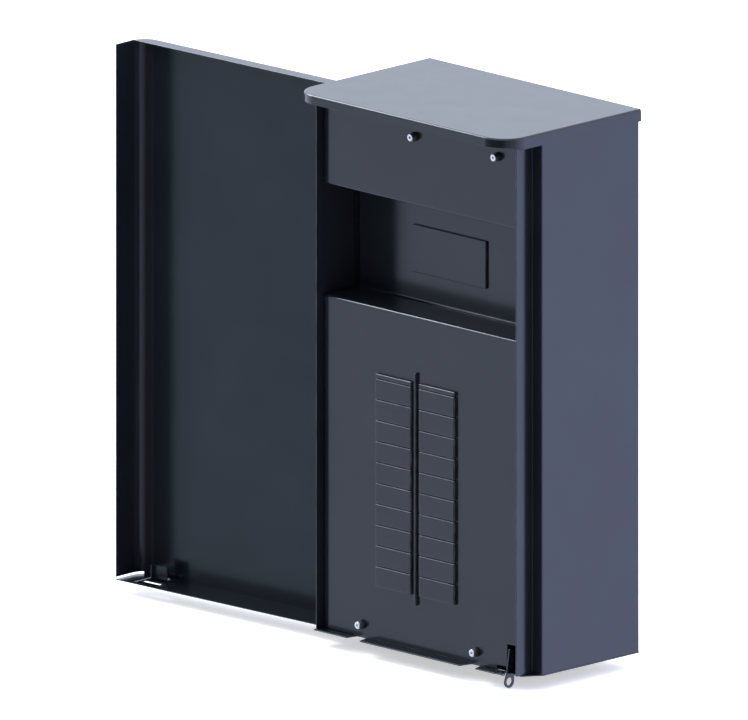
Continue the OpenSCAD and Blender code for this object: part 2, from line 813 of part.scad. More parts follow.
module base_pan() {
    foot = 14;
    color(galvanised) from_floor() difference() {
        union() {
            block([base_x0, base_y, base_z0], [base_x1, base_y + base_t, base_z1]);
            for (x = [base_x0, base_x1 - base_t])
                block([x, base_y, base_z0], [x + base_t, wall_y, base_z1]);
            block([base_x0, wall_y - base_t, base_z0], [base_x0 + foot, wall_y, base_z1]);
            block([base_x1 - foot, wall_y - base_t, base_z0], [base_x1, wall_y, base_z1]);
        }
        for (x = [base_x0 + foot / 2 + 1, base_x1 - foot / 2 - 1], z = base_screw_z)
            rod_y(x, z, 5, wall_y - base_t - e, wall_y + e);
        for (x = [base_x0 + foot / 2 + 1, base_x1 - foot / 2 - 1], z = base_screw_z)
            rod_y(x, z, 12, base_y - e, base_y + base_t + e);
        for (x = [-1, 1] * wall_pitch_x / 2, z = [0, 1] * wall_pitch_z)
            rod_y(x, wall_low_z + z, 22, base_y - e, wall_y + e);
    }
}

module base_screws() {
    foot = 14;
    y1 = wall_y - base_t;
    color(zinc) from_floor() for (x = [base_x0 + foot / 2 + 1, base_x1 - foot / 2 - 1], z = base_screw_z) {
        rod_y(x, z, 4.8, y1 - 1, wall_y);
        rod_y(x, z, 9, y1 - 3, y1);
    }
}

// Rails that the breakers hook on to, one outside each column
module breaker_rails() {
    t = base_t;
    color(galvanised) from_floor() for (side = [-1, 1]) {
        x = column_x + side * rail_x;
        block([x - 5, base_y - t, twistout_z], [x + 5, base_y, columns_top]);
        block([x - side * 5 - t / 2, rail_y, twistout_z], [x - side * 5 + t / 2, base_y, columns_top]);
        block([min(x, x - side * 5) - t / 2, rail_y - t, twistout_z],
              [max(x, x - side * 5) + t / 2, rail_y, columns_top]);
    }
}

module bus_insulators() {
    x0 = bus_x[0] - 6;
    x1 = bus_x[1] + bus_w + 6;
    color(insulator) from_floor() for (z = insulator_zs) difference() {
        union() {
            block([x0, bus_y + bus_t, z], [x1, base_y, z + insulator_h]);
            block([column_x - 2, bus_y - 5, z], [column_x + 2, bus_y + bus_t, z + insulator_h]);
        }
        for (x = bus_x) rod_y(x + bus_w / 2, z + insulator_h / 2, 5, bus_y - e, base_y - 2);
    }
}

// A bus bar, with a stab for every other row that reaches in front of its neighbour
module bus_bar(side, first_row) {
    x0 = bus_x[side];
    stab_y = bus_y - 8;
    stab_x0 = bus_x[0] + 2;
    stab_x1 = bus_x[1] + bus_w - 2;
    difference() {
        union() {
            block([x0, bus_y, bus_z0], [x0 + bus_w, bus_y + bus_t, bus_z1]);
            for (row = [first_row:2:rows - 1]) translate([0, 0, twistout_z + (row + 0.5) * row_pitch - 6]) {
                block([x0 + 3, stab_y, 0], [x0 + bus_w - 3, bus_y, 12]);
                block([stab_x0, stab_y - 2, 0], [stab_x1, stab_y, 12]);
                block([stab_x0, stab_y - 16, 0], [stab_x0 + 2, stab_y, 12]);
                block([stab_x1 - 2, stab_y - 16, 0], [stab_x1, stab_y, 12]);
            }
        }
        for (z = insulator_zs) rod_y(x0 + bus_w / 2, z + insulator_h / 2, 5, bus_y - e, bus_y + bus_t + e);
    }
}

module left_bus_bar() {
    color(aluminium) from_floor() bus_bar(0, 0);
}

module right_bus_bar() {
    color(aluminium) from_floor() bus_bar(1, 1);
}

module bus_screws() {
    color(zinc) from_floor() for (x = bus_x, z = insulator_zs) {
        rod_y(x + bus_w / 2, z + insulator_h / 2, 4.6, bus_y - 1, base_y - 3);
        rod_y(x + bus_w / 2, z + insulator_h / 2, 8, bus_y - 3, bus_y);
    }
}

// A clamp lug: a block with a wire way down through it and a screw way from the front
module lug(x, y0, z, w, d, h, way) {
    difference() {
        block([x - w / 2, y0, z], [x + w / 2, y0 + d, z + h]);
        translate([x, y0 + d / 2, z - e]) cylinder(d = way, h = h + 2 * e);
        rod_y(x, z + h / 2, way * 0.7, y0 - e, y0 + d / 2);
    }
}

module main_lugs() {
    color(aluminium) from_floor() for (x = bus_x)
        lug(x + bus_w / 2, bus_y - lug_d, lug_z, lug_w, lug_d, lug_h, 14);
}

module main_lug_screws() {
    color(zinc) from_floor() for (x = bus_x)
        rod_y(x + bus_w / 2, lug_z + lug_h / 2, 9, bus_y - lug_d + 1, bus_y - lug_d / 2 - 4);
}

// A terminal bar along Z with a wire way and a screw way at each terminal
module terminal_bar(x0, y0, z0, ways) {
    difference() {
        block([x0, y0, z0], [x0 + bar_s, y0 + bar_s, z0 + (ways + 1) * way_pitch]);
        for (i = [1:ways]) {
            rod_x(y0 + bar_s * 0.55, z0 + i * way_pitch, term_d, x0 - e, x0 + bar_s + e);
            rod_y(x0 + bar_s / 2, z0 + i * way_pitch, term_d - 0.8, y0 - e, y0 + bar_s / 2);
        }
    }
}

module terminal_screws(x0, y0, z0, ways) {
    for (i = [1:ways]) {
        z = z0 + i * way_pitch;
        difference() {
            rod_y(x0 + bar_s / 2, z, term_d - 1, y0 - 3, y0 + 4);
            block([x0 - e, y0 - 3 - e, z - 0.5], [x0 + bar_s + e, y0 - 2, z + 0.5]);
        }
    }
}

// The hole that the bonding screw runs through, from the left neutral bar to the base pan
module bonding_way(x) {
    rod_y(x + bar_s / 2, bond_z, bond_d + 0.4, bar_y - e, base_y + e);
}

module neutral_bars() {
    color(aluminium) from_floor() difference() {
        for (x = neutral_xs) terminal_bar(x, bar_y, bar_z0, neutral_ways);
        bonding_way(neutral_xs[0]);
    }
}

module neutral_supports() {
    color(insulator) from_floor() difference() {
        for (x = neutral_xs, z = [bar_z0, bar_z0 + bar_len - 28])
            block([x - 2, bar_y + bar_s, z], [x + bar_s + 2, base_y, z + 14]);
        bonding_way(neutral_xs[0]);
    }
}

module neutral_screws() {
    color(zinc) from_floor() for (x = neutral_xs) terminal_screws(x, bar_y, bar_z0, neutral_ways);
}

// The strap joins the two neutral bars; its middle is set back behind the bus bars
module neutral_strap() {
    t = 2;
    y0 = bar_y + bar_s;
    y1 = y0 + 5;
    x = [neutral_xs[0], bus_x[0] - 14, bus_x[1] + bus_w + 14, neutral_xs[1] + bar_s];
    z1 = bar_z0 + bar_len;
    z0 = z1 - strap_h;
    color(aluminium) from_floor() {
        block([x[0], y0, z0], [x[1] + t, y0 + t, z1]);
        block([x[1], y0 + t, z0], [x[1] + t, y1, z1]);
        block([x[1], y1, z0], [x[2], y1 + t, z1]);
        block([x[2] - t, y0 + t, z0], [x[2], y1, z1]);
        block([x[2] - t, y0, z0], [x[3], y0 + t, z1]);
    }
}

module neutral_lug() {
    color(aluminium) from_floor()
        lug(neutral_xs[0] + bar_s / 2, bar_y - 10, bar_z0 + bar_len, lug_w, bar_s + 10, lug_h, 13);
}

module neutral_lug_screw() {
    color(zinc) from_floor()
        rod_y(neutral_xs[0] + bar_s / 2, bar_z0 + bar_len + lug_h / 2, 8.5, bar_y - 9, bar_y - 4);
}

// The bonding screw joins the left neutral bar to the base pan
module bonding_screw() {
    x = neutral_xs[0] + bar_s / 2;
    color([0.2, 0.45, 0.25]) from_floor() {
        rod_y(x, bond_z, bond_d, bar_y - 1, base_y);
        rod_y(x, bond_z, bond_d + 3.4, bar_y - 3, bar_y);
    }
}

module ground_bar() {
    color(aluminium) from_floor() terminal_bar(ground_x, ground_y, ground_z0, ground_ways);
}

module ground_standoffs() {
    color(galvanised) from_floor() for (z = [ground_z0 + 20, ground_z0 + ground_len - 20])
        rod_y(ground_x + bar_s / 2, z, 8, ground_y + bar_s, wall_y);
}

module ground_screws() {
    color(zinc) from_floor() terminal_screws(ground_x, ground_y, ground_z0, ground_ways);
}

box_wrapper();
bottom_wall();
rain_cap();
upper_cover();
deadfront();
breaker_twistouts();
main_breaker_blank();
upper_cover_bracket();
lower_cover_bracket();
cover_screws();
screw_collars();
door_pan();
door_stop_bracket();
stop_rivets();
door_hinge_leaves();
box_hinge_leaves();
hinge_pins();
hasp_lever();
hasp_bracket();
hasp_pin();
catch_spring();
catch_anchor();
catch_rivets();
base_pan();
base_screws();
breaker_rails();
bus_insulators();
left_bus_bar();
right_bus_bar();
bus_screws();
main_lugs();
main_lug_screws();
neutral_bars();
neutral_supports();
neutral_screws();
neutral_strap();
neutral_lug();
neutral_lug_screw();
bonding_screw();
ground_bar();
ground_standoffs();
ground_screws();
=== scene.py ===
"""Looks of an outdoor breaker panel enclosure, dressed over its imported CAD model.

Lengths are in millimetres, with heights from the top of the bottom wall, as on a sheet metal drawing. Surface.build
turns them into metres in the model's own frame. Most pieces are flat blanks folded up along their bend lines.
"""

import json
import logging
import math
from dataclasses import dataclass, field
from enum import Enum
from typing import Callable, Sequence

import bpy
import numpy as np
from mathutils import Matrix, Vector, geometry


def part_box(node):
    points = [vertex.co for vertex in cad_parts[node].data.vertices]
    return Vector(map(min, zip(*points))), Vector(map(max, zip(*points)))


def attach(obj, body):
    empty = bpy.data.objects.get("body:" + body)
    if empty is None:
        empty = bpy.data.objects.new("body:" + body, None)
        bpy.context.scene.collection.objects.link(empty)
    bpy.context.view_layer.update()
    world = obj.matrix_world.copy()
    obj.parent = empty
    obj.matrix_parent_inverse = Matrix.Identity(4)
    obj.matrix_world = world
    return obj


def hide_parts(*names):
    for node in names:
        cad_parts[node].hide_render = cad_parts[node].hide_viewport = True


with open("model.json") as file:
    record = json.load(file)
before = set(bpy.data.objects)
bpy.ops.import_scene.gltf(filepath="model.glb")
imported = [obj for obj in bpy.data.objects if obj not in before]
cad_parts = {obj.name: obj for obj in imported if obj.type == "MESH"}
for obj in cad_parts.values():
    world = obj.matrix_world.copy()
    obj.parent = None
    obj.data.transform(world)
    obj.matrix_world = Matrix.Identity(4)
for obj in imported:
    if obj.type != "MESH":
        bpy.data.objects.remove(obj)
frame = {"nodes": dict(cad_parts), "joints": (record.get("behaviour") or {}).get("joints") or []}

Array = np.ndarray
Edge = float | Callable[[Array], Array]
Colour = tuple[float, float, float, float]
Socket = bpy.types.NodeSocket
Feed = Socket | float | Sequence[float]
log = logging.getLogger("enclosure")
MM = 0.001  # metres
MERGE = 0.001  # points nearer than this, in millimetres, are one point
ROUND_STEPS = 4  # points on the quarter round of a sheet's edge
SOCKETS = {"mix_first": 6, "mix_second": 7, "mix_colour": 2}  # of a Mix node set to colours


# ---------------------------------------------------------------- lines and outlines


@dataclass(frozen=True)
class Run:
    """One run of a folded line: straight where turn is zero, otherwise an arc that turns left by turn radians."""

    length: float
    turn: float = 0.0


class FoldLine:
    """A line in a plane made of straight runs and arcs, read by the distance along it."""

    def __init__(self, start: Sequence[float], heading: float, runs: Sequence[Run]) -> None:
        """Lays the runs end to end.

        A run of length d that starts at heading h and turns by w ends at d * sin(w / 2) / (w / 2) along h + w / 2.

        Args:
            start: where the line begins.
            heading: its first direction, in radians from the first axis.
            runs: the runs in order.
        """
        lengths = np.array([run.length for run in runs])
        self.turns = np.array([run.turn for run in runs])
        self.stations = np.concatenate([[0.0], np.cumsum(lengths)])
        self.headings = heading + np.concatenate([[0.0], np.cumsum(self.turns)])[:-1]
        self.bends = self.turns / lengths
        steps = self._advance(self.headings, self.bends, lengths)
        self.starts = np.array(start, float) + np.concatenate([[[0.0, 0.0]], np.cumsum(steps, 0)])[:-1]

    @staticmethod
    def _advance(heading: Array, bend: Array, distance: Array) -> Array:
        """The chord of an arc: distance times sin(w / 2) / (w / 2), along the heading at its middle."""
        half = bend * distance / 2
        chord = distance * np.sinc(half / np.pi)
        return np.stack([chord * np.cos(heading + half), chord * np.sin(heading + half)], -1)

    @classmethod
    def through(cls, corners: Sequence[Sequence[float]], radii: Sequence[float]) -> "FoldLine":
        """A line through corners, each inner one rounded by an arc that touches both its sides.

        The arc at a corner that turns by w cuts radius * tan(w / 2) off each side.

        Args:
            corners: the points, first to last.
            radii: the radius at each inner corner.

        Returns:
            The folded line. Straight side k is run 2 k.
        """
        points = np.array(corners, float)
        sides = np.diff(points, axis=0)
        headings = np.arctan2(sides[:, 1], sides[:, 0])
        turns = (np.diff(headings) + np.pi) % (2 * np.pi) - np.pi
        cuts = np.concatenate([[0.0], np.array(radii, float) * np.tan(np.abs(turns) / 2), [0.0]])
        straight = np.hypot(*sides.T) - cuts[:-1] - cuts[1:]
        runs = [Run(straight[0])]
        for length, turn, radius in zip(straight[1:], turns, radii):
            runs += [Run(abs(turn) * radius, turn), Run(length)]
        return cls(points[0], headings[0], runs)

    @property
    def length(self) -> float:
        """The whole length."""
        return float(self.stations[-1])

    def mark(self, side: int, axis: int, value: float) -> float:
        """The distance at which a straight side of a line made by through reaches a coordinate."""
        run = 2 * side
        slope = (math.cos, math.sin)[axis](self.headings[run])
        return float(self.stations[run] + (value - self.starts[run][axis]) / slope)

    def at(self, distance: Array) -> tuple[Array, Array]:
        """Points and headings at distances along the line."""
        run = np.clip(np.searchsorted(self.stations, distance, side="right") - 1, 0, len(self.bends) - 1)
        past = distance - self.stations[run]
        heading, bend = self.headings[run], self.bends[run]
        return self.starts[run] + self._advance(heading, bend, past), heading + bend * past

    def creases(self, step: float = math.radians(12)) -> Array:
        """Distances of the lines that an arc is bent along, one every step of its turn."""
        lines = [
            np.linspace(self.stations[i], self.stations[i + 1], max(2, math.ceil(abs(turn) / step) + 1))
            for i, turn in enumerate(self.turns) if turn
        ]
        return np.concatenate(lines) if lines else np.zeros(0)

    def outline(self, step: float = math.radians(15)) -> tuple[Array, Array]:
        """Points and headings all along, with both headings kept at a hard corner."""
        last = len(self.turns)
        spans = [np.linspace(0, 1, max(2, math.ceil(abs(turn) / step) + 1)) for turn in self.turns]
        run = np.repeat(np.arange(last), [len(span) for span in spans])
        past = np.concatenate(spans) * np.diff(self.stations)[run]
        heading, bend = self.headings[run], self.bends[run]
        return self.starts[run] + self._advance(heading, bend, past), heading + bend * past


@dataclass(frozen=True)
class Loop:
    """A closed outline on a flat blank, followed with the material on its left; away points off the material."""

    points: Array
    away: Array

    @classmethod
    def rounded(
        cls, corners: Sequence[Sequence[float]], radius: float | Sequence[float], steps: int = 4, hole: bool = False
    ) -> "Loop":
        """An outline whose corners are arcs.

        With t the turn at a corner, its arc runs from radius * tan(t / 2) before it to as far after it, and each
        point is the arc's centre plus or minus radius times the outward direction.

        Args:
            corners: the sharp corners, anticlockwise.
            radius: one radius, or one for each corner.
            steps: arc pieces at each corner.
            hole: True to follow it clockwise, as the edge of a hole.

        Returns:
            The loop.
        """
        points = np.array(corners, float)
        radii = np.broadcast_to(np.array(radius, float), (len(points),))
        if hole:
            points, radii = points[::-1], radii[::-1]
        before = points - np.roll(points, 1, 0)
        after = np.roll(points, -1, 0) - points
        before /= np.hypot(*before.T)[:, None]
        after /= np.hypot(*after.T)[:, None]
        turn = np.arctan2(before[:, 0] * after[:, 1] - before[:, 1] * after[:, 0], (before * after).sum(1))
        start = points - before * (radii * np.tan(np.abs(turn) / 2))[:, None]
        side = np.sign(turn) * radii
        centre = start + side[:, None] * np.stack([-before[:, 1], before[:, 0]], 1)
        angle = np.arctan2(before[:, 1], before[:, 0])[:, None] + turn[:, None] * np.linspace(0, 1, steps + 1)
        away = np.stack([np.sin(angle), -np.cos(angle)], -1)
        return cls((centre[:, None] + side[:, None, None] * away).reshape(-1, 2), away.reshape(-1, 2))

    @classmethod
    def rectangle(cls, low: Sequence[float], high: Sequence[float], radius: float, hole: bool = False) -> "Loop":
        """A rectangle with rounded corners."""
        corners = [(low[0], low[1]), (high[0], low[1]), (high[0], high[1]), (low[0], high[1])]
        return cls.rounded(corners, radius, hole=hole)

    @classmethod
    def bore(cls, centre: Sequence[float], radius: float, count: int) -> "Loop":
        """The clockwise edge of a round hole."""
        angle = np.linspace(0, 2 * np.pi, count, endpoint=False)
        spoke = np.stack([np.cos(angle), -np.sin(angle)], 1)
        return cls(np.array(centre, float) + radius * spoke, -spoke)

    def crossed(self, axis: int, stations: Array) -> "Loop":
        """The loop with a point added wherever it crosses a bend line."""
        here, there = self.points, np.roll(self.points, -1, 0)
        reach = there[:, axis] - here[:, axis]
        share = (stations[None] - here[:, axis, None]) / np.where(np.abs(reach) < 1e-9, np.inf, reach)[:, None]
        side, which = np.nonzero((share > 1e-6) & (share < 1 - 1e-6))
        part = share[side, which]
        order = np.argsort(np.concatenate([np.arange(len(here)), side + part]), kind="stable")

        def filled(first: Array, second: Array) -> Array:
            """The points, with those between them put in where they belong."""
            return np.concatenate([first, first[side] + part[:, None] * (second - first)[side]])[order]

        return Loop(filled(here, there), filled(self.away, np.roll(self.away, -1, 0)))


def fill(loops: Sequence[Array], lines: tuple[Array, Array] = (np.zeros(0), np.zeros(0))) -> tuple[Array, Array]:
    """Triangles over the area that lies inside an odd number of loops, cut along bend lines.

    A triangle stays if a ray from its middle crosses the loops' sides an odd number of times.

    Args:
        loops: outlines and holes, as flat points.
        lines: bend lines across the first and the second coordinate.

    Returns:
        The points and the triangles' point numbers.
    """
    points = np.concatenate(loops)
    numbers = np.split(np.arange(len(points)), np.cumsum([len(loop) for loop in loops])[:-1])
    sides = np.concatenate([np.stack([number, np.roll(number, -1)], 1) for number in numbers])
    low, high = points.min(0) - 1, points.max(0) + 1
    first_lines, second_lines = lines
    extra = np.concatenate([
        np.stack([np.repeat(first_lines, 2), np.tile([low[1], high[1]], len(first_lines))], 1),
        np.stack([np.tile([low[0], high[0]], len(second_lines)), np.repeat(second_lines, 2)], 1),
    ])
    extra_sides = np.arange(len(extra)).reshape(-1, 2) + len(points)
    found = geometry.delaunay_2d_cdt(
        np.concatenate([points, extra]).tolist(), np.concatenate([sides, extra_sides]).tolist(), [], 0, 1e-5
    )
    flat, triangles = np.array(found[0]), np.array(found[2])
    middle = flat[triangles].mean(1)
    first, second = points[sides[:, 0]], points[sides[:, 1]]
    spans = (first[:, 1] > middle[:, 1:]) != (second[:, 1] > middle[:, 1:])
    rise = np.where(first[:, 1] == second[:, 1], 1.0, second[:, 1] - first[:, 1])
    reach = first[:, 0] + (middle[:, 1:] - first[:, 1]) * (second[:, 0] - first[:, 0]) / rise
    inside = (spans & (middle[:, :1] < reach)).sum(1) % 2 == 1
    return flat, triangles[inside]


# ---------------------------------------------------------------- where a blank goes


@dataclass(frozen=True)
class Flat:
    """A blank that stays flat: its origin, the directions of its two coordinates, and the one into its thickness."""

    origin: tuple[float, float, float]
    along: tuple[float, float, float]
    over: tuple[float, float, float]
    into: tuple[float, float, float]

    def lines(self) -> tuple[Array, Array]:
        """No bend lines."""
        return np.zeros(0), np.zeros(0)

    def carry(self, blank: Array, vectors: Array) -> tuple[Array, Array]:
        """Puts points and directions in place: the origin plus each coordinate times its direction."""
        axes = np.array([self.along, self.over, self.into], float)
        return np.array(self.origin, float) + blank @ axes, vectors @ axes


@dataclass(frozen=True)
class Fold:
    """A blank bent round upright lines by across, seen from above, and round level lines by up, seen from the side.

    The first coordinate is the distance along across, the second along up, and the third is the depth into the sheet.
    """

    across: FoldLine
    up: FoldLine

    def lines(self) -> tuple[Array, Array]:
        """The bend lines of both coordinates."""
        return self.across.creases(), self.up.creases()

    def carry(self, blank: Array, vectors: Array) -> tuple[Array, Array]:
        """Folds points and directions up.

        With h the heading of across and g the lean of up from the upright, the into direction is
        (-sin h cos g, cos h cos g, -sin g), along is (cos h, sin h, 0) and over is (-sin h sin g, cos h sin g, cos g).
        A point is the place on across, plus the set-back of up along the level into direction, plus depth times into.
        """
        place, h = self.across.at(blank[..., 0])
        profile, rise = self.up.at(blank[..., 1])
        g = math.pi / 2 - rise
        zero = np.zeros_like(h)
        along = np.stack([np.cos(h), np.sin(h), zero], -1)
        over = np.stack([-np.sin(h) * np.sin(g), np.cos(h) * np.sin(g), np.cos(g)], -1)
        into = np.stack([-np.sin(h) * np.cos(g), np.cos(h) * np.cos(g), -np.sin(g)], -1)
        back = profile[..., :1] * np.stack([-np.sin(h), np.cos(h)], -1)
        base = np.concatenate([place + back, profile[..., 1:]], -1)
        turned = vectors[..., :1] * along + vectors[..., 1:2] * over + vectors[..., 2:] * into
        return base + blank[..., 2:] * into, turned


def upright(low: float, high: float) -> FoldLine:
    """The up line of a sheet that is bent round upright lines only."""
    return FoldLine((0.0, low), math.pi / 2, [Run(high - low)])


Stand = Flat | Fold


# ---------------------------------------------------------------- surfaces


@dataclass(frozen=True)
class Datum:
    """Ties the drawing to the model's frame.

    Attributes:
        floor: height of the bottom wall in the frame.
        hinge: x and y of the hinge line.
        opening: the angle from the drawn door, which is shut, to where it stands.
    """

    floor: float
    hinge: tuple[float, float]
    opening: float

    @classmethod
    def from_frame(cls) -> "Datum":
        """Reads the places from the CAD model and its door joint."""
        joint = next(j for j in frame["joints"] if j["name"] == "door_swing")
        x, y = (value / MM for value in joint["pos_m"][:2])
        return cls(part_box("box_wrapper")[0].z / MM, (x, y), -math.radians(joint["range_deg"][1]))

    def span(self, node: str) -> tuple[Array, Array]:
        """The lowest and highest corner of a CAD node on the drawing."""
        low, high = (np.array(corner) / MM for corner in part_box(node))
        return low - (0, 0, self.floor), high - (0, 0, self.floor)

    def shut_span(self, node: str) -> tuple[Array, Array]:
        """The same for a node of the door, with the door shut."""
        mesh = frame["nodes"][node].data
        points = np.zeros(len(mesh.vertices) * 3, np.float32)
        mesh.vertices.foreach_get("co", points)
        points = self.swing(points.reshape(-1, 3) / MM - (0, 0, self.floor), -self.opening)
        return points.min(0), points.max(0)

    def swing(self, points: Array, angle: float, place: bool = True) -> Array:
        """Turns points, or directions if place is False, about the hinge line."""
        c, s = math.cos(angle), math.sin(angle)
        centre = np.array([*self.hinge, 0.0]) if place else np.zeros(3)
        return (points - centre) @ np.array([[c, s, 0], [-s, c, 0], [0, 0, 1]]) + centre


class Surface:
    """Gathers the patches of one piece and joins them into a mesh with exact shading normals."""

    def __init__(self) -> None:
        """Starts empty."""
        self.points: list[Array] = []
        self.normals: list[Array] = []
        self.wear: list[Array] = []
        self.faces: list[Array] = []
        self.count = 0

    def add(self, points: Array, normals: Array, faces: Array, wear: Array | float = 0.0) -> None:
        """Adds a patch.

        Args:
            points: its points.
            normals: the outward direction at each.
            faces: rows of three or four point numbers.
            wear: how much of an edge each point is, from 0 on a face to 1; the paint is lightened there, partly as
                rubbed paint and partly as a painted highlight.
        """
        if faces.shape[1] == 3:
            faces = np.concatenate([faces, faces[:, 2:]], 1)
        self.points.append(points)
        self.normals.append(normals)
        self.wear.append(np.broadcast_to(wear, (len(points),)))
        self.faces.append(faces + self.count)
        self.count += len(points)

    def grid(self, points: Array, normals: Array, wear: Array | float = 0.0, closed: bool = False) -> None:
        """Adds a sheet of four-sided faces over a grid of points, its columns joined round if closed."""
        rows, columns = points.shape[:2]
        number = np.arange(rows * columns).reshape(rows, columns)
        if closed:
            number = np.concatenate([number, number[:, :1]], 1)
        faces = np.stack([number[:-1, :-1], number[:-1, 1:], number[1:, 1:], number[1:, :-1]], -1)
        spread = np.broadcast_to(wear, (rows, columns)).reshape(-1)
        self.add(points.reshape(-1, 3), normals.reshape(-1, 3), faces.reshape(-1, 4), spread)

    def plate(
        self,
        stand: Stand,
        outline: Loop,
        holes: Sequence[Loop] = (),
        thickness: float = 1.5,
        edge: Edge = 0.35,
        back_edge: Edge | None = None,
        scores: Sequence[tuple[Array, float, float]] = (),
    ) -> None:
        """Adds a sheet: its two faces, and a rim round its outline and each hole whose edges are quarter rounds.

        At the angle t of the quarter round, a rim point lies edge * (1 - sin t) inside the loop and edge * (1 - cos t)
        below the face, and its normal leans sin t off the sheet's side and cos t to the face.

        Args:
            stand: where the blank goes.
            outline: its outer edge.
            holes: the edges of its holes.
            thickness: of the sheet.
            edge: radius of the front edges, or a function of the loop's points.
            back_edge: the same for the back edges, if they differ.
            scores: rings scored in the front face, as centre, outer radius and depth.
        """
        lines = stand.lines()
        turn = np.linspace(0, math.pi / 2, ROUND_STEPS)[:, None]
        fronts, backs = [], []
        for loop in (outline, *holes):
            loop = loop.crossed(0, lines[0]).crossed(1, lines[1])
            halves = []
            for side, radius in ((-1, edge), (1, edge if back_edge is None else back_edge)):
                size = radius(loop.points) if callable(radius) else np.full(len(loop.points), radius)
                flat = loop.points - (size * (1 - np.sin(turn)))[..., None] * loop.away
                sunk = size * (1 - np.cos(turn))
                depth = sunk if side < 0 else thickness - sunk
                lean = np.broadcast_to(side * np.cos(turn), sunk.shape)
                ways = np.concatenate([np.sin(turn)[..., None] * loop.away, lean[..., None]], -1)
                # How far the paint on the round is lightened: partly rubbed paint, partly a painted highlight.
                wear = np.broadcast_to(np.sin(1.6 * turn) * (size > 0), sunk.shape)
                halves.append((np.concatenate([flat, depth[..., None]], -1), ways, wear))
            (front, front_way, front_wear_and_highlight), (back, back_way, back_wear_and_highlight) = halves
            points, vectors = stand.carry(
                np.concatenate([front, back[::-1]]), np.concatenate([front_way, back_way[::-1]])
            )
            self.grid(points, vectors, np.concatenate([front_wear_and_highlight, back_wear_and_highlight[::-1]]), closed=True)
            fronts.append(front[0, :, :2])
            backs.append(back[0, :, :2])
        for centre, radius, depth in scores:
            fronts += self._score(stand, centre, radius, depth)
        for loops, level, way in ((fronts, 0.0, -1.0), (backs, thickness, 1.0)):
            flat, triangles = fill(loops, lines)
            blank = np.concatenate([flat, np.full((len(flat), 1), level)], 1)
            self.add(*stand.carry(blank, np.broadcast_to([0.0, 0.0, way], blank.shape)), triangles)

    def _score(self, stand: Stand, centre: Array, radius: float, depth: float) -> list[Array]:
        """Cuts a ring-shaped groove: a square channel carried round a circle. Returns the loops that bound it."""
        width = 0.8
        section = np.array([[radius, 0], [radius, depth], [radius - width, depth], [radius - width, 0]])
        ways = np.array([[-1, 0], [0, -1], [1, 0]])
        angle = np.linspace(0, 2 * np.pi, 48, endpoint=False)
        spoke = np.stack([np.cos(angle), np.sin(angle)], 1)
        for k, way in enumerate(ways):
            pair = section[k : k + 2, None]
            blank = np.concatenate([centre + pair[..., :1] * spoke, np.broadcast_to(pair[..., 1:], (2, 48, 1))], -1)
            lean = np.concatenate([way[0] * spoke, np.full((48, 1), way[1])], 1)
            self.grid(*stand.carry(blank, np.broadcast_to(lean, blank.shape)), closed=True)
        return [centre + radius * spoke, centre + (radius - width) * spoke]

    def turned(
        self, stand: Flat, line: FoldLine, count: int, shape: Callable[[Array, Array], Array] | None = None
    ) -> None:
        """Adds a body of revolution: a profile of radius and height carried round the stand's into direction.

        Args:
            stand: its origin is the centre, and height runs against into.
            line: the profile, followed from the axis at the top outwards and down, with the body on its right.
            count: steps round.
            shape: a factor on the radius from the profile's radius and the angle, for a socket that isn't round.
        """
        profile, heading = line.outline()
        angle = np.linspace(0, 2 * np.pi, count, endpoint=False)
        radius = np.broadcast_to(profile[:, :1], (len(profile), count))
        if shape is not None:
            radius = radius * shape(profile, angle)
        spoke = np.stack([np.cos(angle), np.sin(angle)], -1)
        lean = np.stack([-np.sin(heading), np.cos(heading)], -1)
        depth, sink = (np.broadcast_to(-part[:, 1:, None], (*radius.shape, 1)) for part in (profile, lean))
        blank = np.concatenate([radius[..., None] * spoke, depth], -1)
        vectors = np.concatenate([lean[:, None, :1] * spoke, sink], -1)
        self.grid(*stand.carry(blank, vectors), closed=True)

    def repeat(self, offsets: Array) -> None:
        """Puts a copy of everything at each offset, in place of the one there is."""
        points, normals = np.concatenate(self.points), np.concatenate(self.normals)
        wear, faces = np.concatenate(self.wear), np.concatenate(self.faces)
        times = len(offsets)
        self.faces = [(faces[None] + np.arange(times)[:, None, None] * len(points)).reshape(-1, 4)]
        self.points = [(points[None] + np.array(offsets, float)[:, None]).reshape(-1, 3)]
        self.normals, self.wear = [np.tile(normals, (times, 1))], [np.tile(wear, times)]
        self.count = len(self.points[0])

    def build(self, name: str, datum: Datum, swung: bool = False) -> bpy.types.Object:
        """Makes the mesh object.

        Each face is wound so that it faces the way its normals point. Points closer than MERGE are joined, and faces
        that this closes up are dropped.

        Args:
            name: of the piece.
            datum: where the drawing lies in the frame.
            swung: True for a piece of the door, which is drawn shut.

        Returns:
            The object, at the origin.
        """
        points, normals = np.concatenate(self.points), np.concatenate(self.normals)
        wear, faces = np.concatenate(self.wear), np.concatenate(self.faces)
        if swung:
            points, normals = datum.swing(points, datum.opening), datum.swing(normals, datum.opening, place=False)
        corner = points[faces]
        facing = np.cross(corner[:, 2] - corner[:, 0], corner[:, 3] - corner[:, 1])
        wrong = (facing * normals[faces].sum(1)).sum(1) < 0
        faces[wrong] = faces[wrong][:, ::-1]
        cell = np.round(points / MERGE).astype(np.int64)
        _, first, joined = np.unique(cell, axis=0, return_index=True, return_inverse=True)
        joined = joined.reshape(-1)
        number = joined[faces]
        kept = number != np.roll(number, -1, 1)
        sides = kept.sum(1) * (np.linalg.norm(facing, axis=1) > 1e-7)
        rings, old = [], []
        for count in (3, 4):
            chosen = sides == count
            rings += number[chosen][kept[chosen]].reshape(-1, count).tolist()
            old.append(faces[chosen][kept[chosen]])
        mesh = bpy.data.meshes.new(name)
        place = (points[first] + (0, 0, datum.floor)) * MM
        mesh.from_pydata(place.tolist(), [], rings)
        mesh.polygons.foreach_set("use_smooth", np.ones(len(mesh.polygons), bool))
        # Stores how far each point's paint is lightened, partly as rubbed paint and partly as a painted highlight.
        shares = np.zeros(len(first), np.float32)
        np.maximum.at(shares, joined, wear.astype(np.float32))
